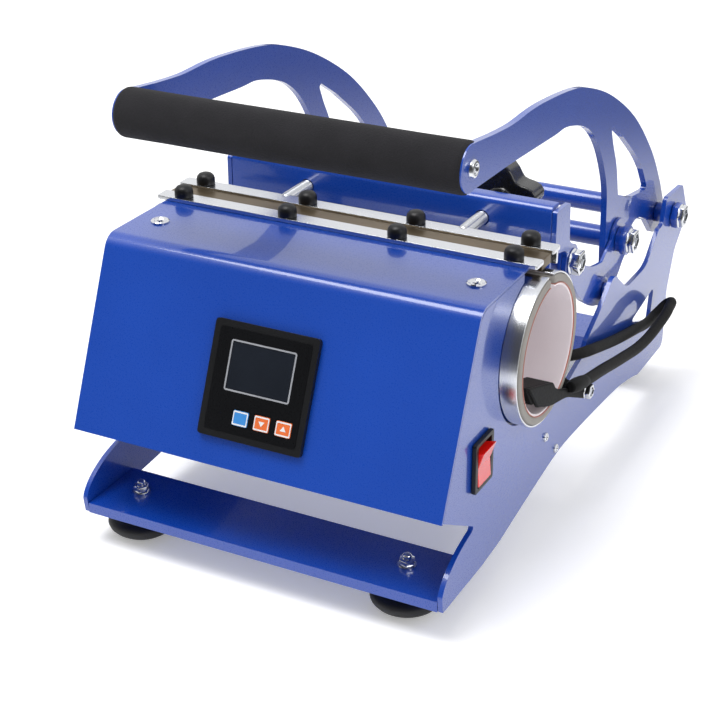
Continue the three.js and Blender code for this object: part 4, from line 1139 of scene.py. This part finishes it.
def adjusting_rods():
    for name in SIDES:
        node = f"adjusting_rod_{name}"
        low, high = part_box(node)
        radius = (high[2] - low[2]) / 2 / MM
        start, end = low[1] / MM, high[1] / MM
        rod = turned(f"{node}_threaded", "Y", middle_of(node, "Y"), rod_stations(start, end, radius), 36)
        fitted(settled(rod, f"{node}_threaded", 60), "rod", "carriage", "rod_steel", node)


ROD_PITCH = 1.25
THREAD_DEPTH = 0.28


def rod_stations(start, end, radius):
    """A rolled thread drawn as close ridges, with plain eased ends."""
    stations = [(start, 0), (start, radius - 0.8), (start + 0.8, radius - 0.1)]
    step = start + 1.4
    while step < end - 1.6:
        stations += [(step, radius), (step + ROD_PITCH * 0.5, radius - THREAD_DEPTH)]
        step += ROD_PITCH
    return stations + [(end - 0.8, radius - 0.1), (end, radius - 0.8), (end, 0)]


# Control panel, laid out in its own plane and turned onto the sloped front

PANEL_CENTRE = (-2.1, 16.59, 126.5)
PANEL_SLOPE = math.radians(66.5)
WINDOW_CENTRE = (0.0, 8.7)
WINDOW_HALF = (20.1, 13.6)
KEYS = (("key_set", -7.2, "set_key"), ("key_down", 6.6, "down_key"), ("key_up", 20.6, "up_key"))
KEY_ROW = -20.0
KEY_TOP = 3.8
KEY_HALF = (5.0, 4.35)
KEY_ROOM = 0.35
PANEL_HALF = 29.6
# Heights over the panel's plane, from and to
SKIN = (3.2, 3.55)
GLASS = (2.7, 3.3)
OUTLINE = (3.5, 3.66)
KEY = (0.4, KEY_TOP)
KEY_PRINT = (KEY_TOP - 0.05, KEY_TOP + 0.12)
CORNER_PARTS = 4


def onto_panel():
    return Matrix.Translation(at(*PANEL_CENTRE)) @ Matrix.Rotation(PANEL_SLOPE, 4, "X")


def rounded_box(x, y, half_x, half_y, corner):
    """Points of a rounded rectangle, in millimetres."""
    points = []
    for turn, (sign_x, sign_y) in enumerate(((1, 1), (-1, 1), (-1, -1), (1, -1))):
        centre_x = x + sign_x * (half_x - corner)
        centre_y = y + sign_y * (half_y - corner)
        for step in range(CORNER_PARTS + 1):
            angle = math.pi / 2 * (turn + step / CORNER_PARTS)
            across = centre_x + corner * math.cos(angle)
            up = centre_y + corner * math.sin(angle)
            points.append((across * MM, up * MM))
    return points


def panel_piece(name, paths, low, high, ease=0.0):
    piece = thickened(filled(name, paths, divisions=3), low, high, ease)
    piece.matrix_world = onto_panel()
    return settled(piece, name, level=True)


def framed(x, y, half_x, half_y, corner, width):
    return [rounded_box(x, y, half_x, half_y, corner),
            rounded_box(x, y, half_x - width, half_y - width, max(corner - width, 0.2))]


def key_sign(name, x, body, way):
    """A raised arrowhead on a key, pointing up or down."""
    mark = [(x - 1.9, KEY_ROW - way * 1.2), (x + 1.9, KEY_ROW - way * 1.2), (x, KEY_ROW + way * 1.7)]
    piece = panel_piece(name, [[(across * MM, up * MM) for across, up in mark]], *KEY_PRINT)
    fitted(piece, "white_print", body, "window_dark")


def control_panel():
    bezel = folded("panel_bezel", "panel_bezel_moulded", 0.7, segments=3)
    fitted(bezel, "plastic", "base", "knob_black", "panel_bezel")
    hole_half = [half + KEY_ROOM for half in KEY_HALF]
    key_holes = [rounded_box(key[1], KEY_ROW, *hole_half, 0.8) for key in KEYS]
    window = rounded_box(*WINDOW_CENTRE, WINDOW_HALF[0] + 0.1, WINDOW_HALF[1] + 0.1, 1.2)
    sheet = rounded_box(0, 0, PANEL_HALF, PANEL_HALF, 1.6)
    skin = panel_piece("panel_skin", [sheet, *key_holes, window], *SKIN, 0.1)
    fitted(skin, "membrane", "base", "knob_black")
    glass = panel_piece("panel_glass", [rounded_box(*WINDOW_CENTRE, *WINDOW_HALF, 1.2)], *GLASS, 0.1)
    fitted(glass, "screen", "base", "window_dark", "panel_window")
    line = framed(*WINDOW_CENTRE, WINDOW_HALF[0] + 1.0, WINDOW_HALF[1] + 1.0, 1.4, 0.95)
    fitted(panel_piece("panel_outline", line, *OUTLINE), "grey_print", "base", "window_dark")
    for node, x, body in KEYS:
        finish, slot = ("blue_print", "key_blue") if node == "key_set" else ("orange_print", "key_orange")
        button = panel_piece(f"{node}_button", [rounded_box(x, KEY_ROW, *KEY_HALF, 0.9)], *KEY, 0.3)
        fitted(button, finish, body, slot, node)
        edge = panel_piece(f"{node}_border", [
            rounded_box(x, KEY_ROW, KEY_HALF[0] - 0.3, KEY_HALF[1] - 0.3, 0.7),
            rounded_box(x, KEY_ROW, KEY_HALF[0] - 0.9, KEY_HALF[1] - 1.15, 0.4)], *KEY_PRINT)
        fitted(edge, "white_print", body, "window_dark")
    key_sign("key_down_mark", KEYS[1][1], "down_key", -1)
    key_sign("key_up_mark", KEYS[2][1], "up_key", 1)


# Power switch: frame and rocker in the right side plate

def power_switch():
    frame_piece = folded("switch_frame", "switch_frame_moulded", 0.5, segments=3)
    fitted(frame_piece, "plastic", "base", "knob_black", "switch_frame")
    rocker = folded("switch_rocker", "switch_rocker_clear", 0.5, segments=3)
    fitted(rocker, "rocker", "rocker", "rocker_red", "switch_rocker")


# Studio: a pale table, white surroundings behind, a dimmer room in front

FLOOR_SIZE = 8.0
FLOOR_GLOW = 0.26
TABLE_NEAR = 0.42
TABLE_FAR = 0.85
TABLE_LEAST = 0.12
TABLE_DIM = 0.2
WORLD_LEVEL = 0.58
ROOM_DIM = 0.07
# Where the dim room in front gives way to white, by the direction's Y
ROOM_EDGE = (-0.75, -0.25)
LAMP_AIM = Vector((0, 0, 0.12))
LAMPS = (
    ("key_lamp", Vector((-0.5, -0.6, 2.5)), (1.4, 1.4), 48.0),
    ("side_lamp", Vector((2.0, -0.6, 1.7)), (1.0, 1.4), 12.0),
)


def seen_directly(network):
    """Two masks: one where the camera looks or looks through, and one for glossy rays."""
    camera = network.node("ShaderNodeLightPath", output="Is Camera Ray")
    through = network.node("ShaderNodeLightPath", output="Is Transmission Ray")
    glossy = network.node("ShaderNodeLightPath", output="Is Glossy Ray")
    return camera.maths("MAXIMUM", camera, through), glossy


def ranged(network, value, low, high, start, end):
    """Carries a value smoothly over from one range to another."""
    return network.node("ShaderNodeMapRange", {"interpolation_type": "SMOOTHSTEP"}, {
        "Value": value, "From Min": low, "From Max": high, "To Min": start, "To Max": end})


def chosen(network, factor, first, second):
    return network.node("ShaderNodeMix", sockets={0: factor, 2: first, 3: second})


def pale_floor():
    deselect()
    bpy.ops.mesh.primitive_plane_add(size=FLOOR_SIZE, location=(0, 0, 0))
    floor = bpy.context.object
    floor.name = "floor"
    finish = Finish("floor_pale", Roughness=0.95, Specular_IOR_Level=0.1)
    cloud = finish.noise(3, 1)
    finish.set(Base_Color=finish.between(cloud, (0.93, 0.93, 0.935), (0.95, 0.95, 0.95)))
    direct, glossy = seen_directly(finish)
    distance = finish.node("ShaderNodeVectorMath", {"operation": "LENGTH"}, {0: finish.place}, output="Value")
    far_glow = ranged(finish, distance, TABLE_FAR, FLOOR_SIZE / 2, FLOOR_GLOW, 1.0)
    level = chosen(finish, glossy, chosen(finish, direct, 0.0, far_glow), FLOOR_GLOW)
    finish.set(Emission_Color=(1, 1, 1), Emission_Strength=level)
    dim = finish.node("ShaderNodeEmission", sockets={"Strength": TABLE_DIM})
    far = ranged(finish, distance, TABLE_NEAR, TABLE_FAR, TABLE_LEAST, 1.0)
    mixed = finish.node("ShaderNodeMixShader", sockets={
        0: chosen(finish, glossy, 0.0, far), 1: Wire(finish, finish.shader.outputs[0]), 2: dim})
    finish.feed(finish.tree.nodes["Material Output"].inputs["Surface"], mixed)
    floor.data.materials.append(finish.material)


def white_surroundings():
    world = bpy.data.worlds.new("studio")
    bpy.context.scene.world = world
    network = Network(world)
    direct, glossy = seen_directly(network)
    way = network.node("ShaderNodeTexCoord", output="Generated")
    depth = network.node("ShaderNodeSeparateXYZ", sockets={0: way}, output="Y")
    mirror_level = ranged(network, depth, *ROOM_EDGE, ROOM_DIM, 1.0)
    level = chosen(network, glossy, chosen(network, direct, WORLD_LEVEL, 1.0), mirror_level)
    background = network.tree.nodes["Background"]
    network.feed(background.inputs["Strength"], level)
    network.feed(background.inputs["Color"], (1, 1, 1))


def lamps():
    for name, place, size, watts in LAMPS:
        data = bpy.data.lights.new(name, "AREA")
        data.shape = "RECTANGLE"
        data.size, data.size_y = size
        data.energy = watts
        lamp = linked(name, data)
        lamp.location = place
        aim = LAMP_AIM - lamp.location
        lamp.rotation_euler = aim.to_track_quat("-Z", "Y").to_euler()


# The machine

heater_lead()
sheet_metal()
cross_tubes()
pivot_bolts()
grip()
heater()
clamp_strips()
clamp_caps()
cover_screws()
plate_screws()
adjusting_rods()
star_knobs()
feet()
control_panel()
power_switch()

pale_floor()
white_surroundings()
lamps()

bpy.context.scene.view_settings.view_transform = "Standard"
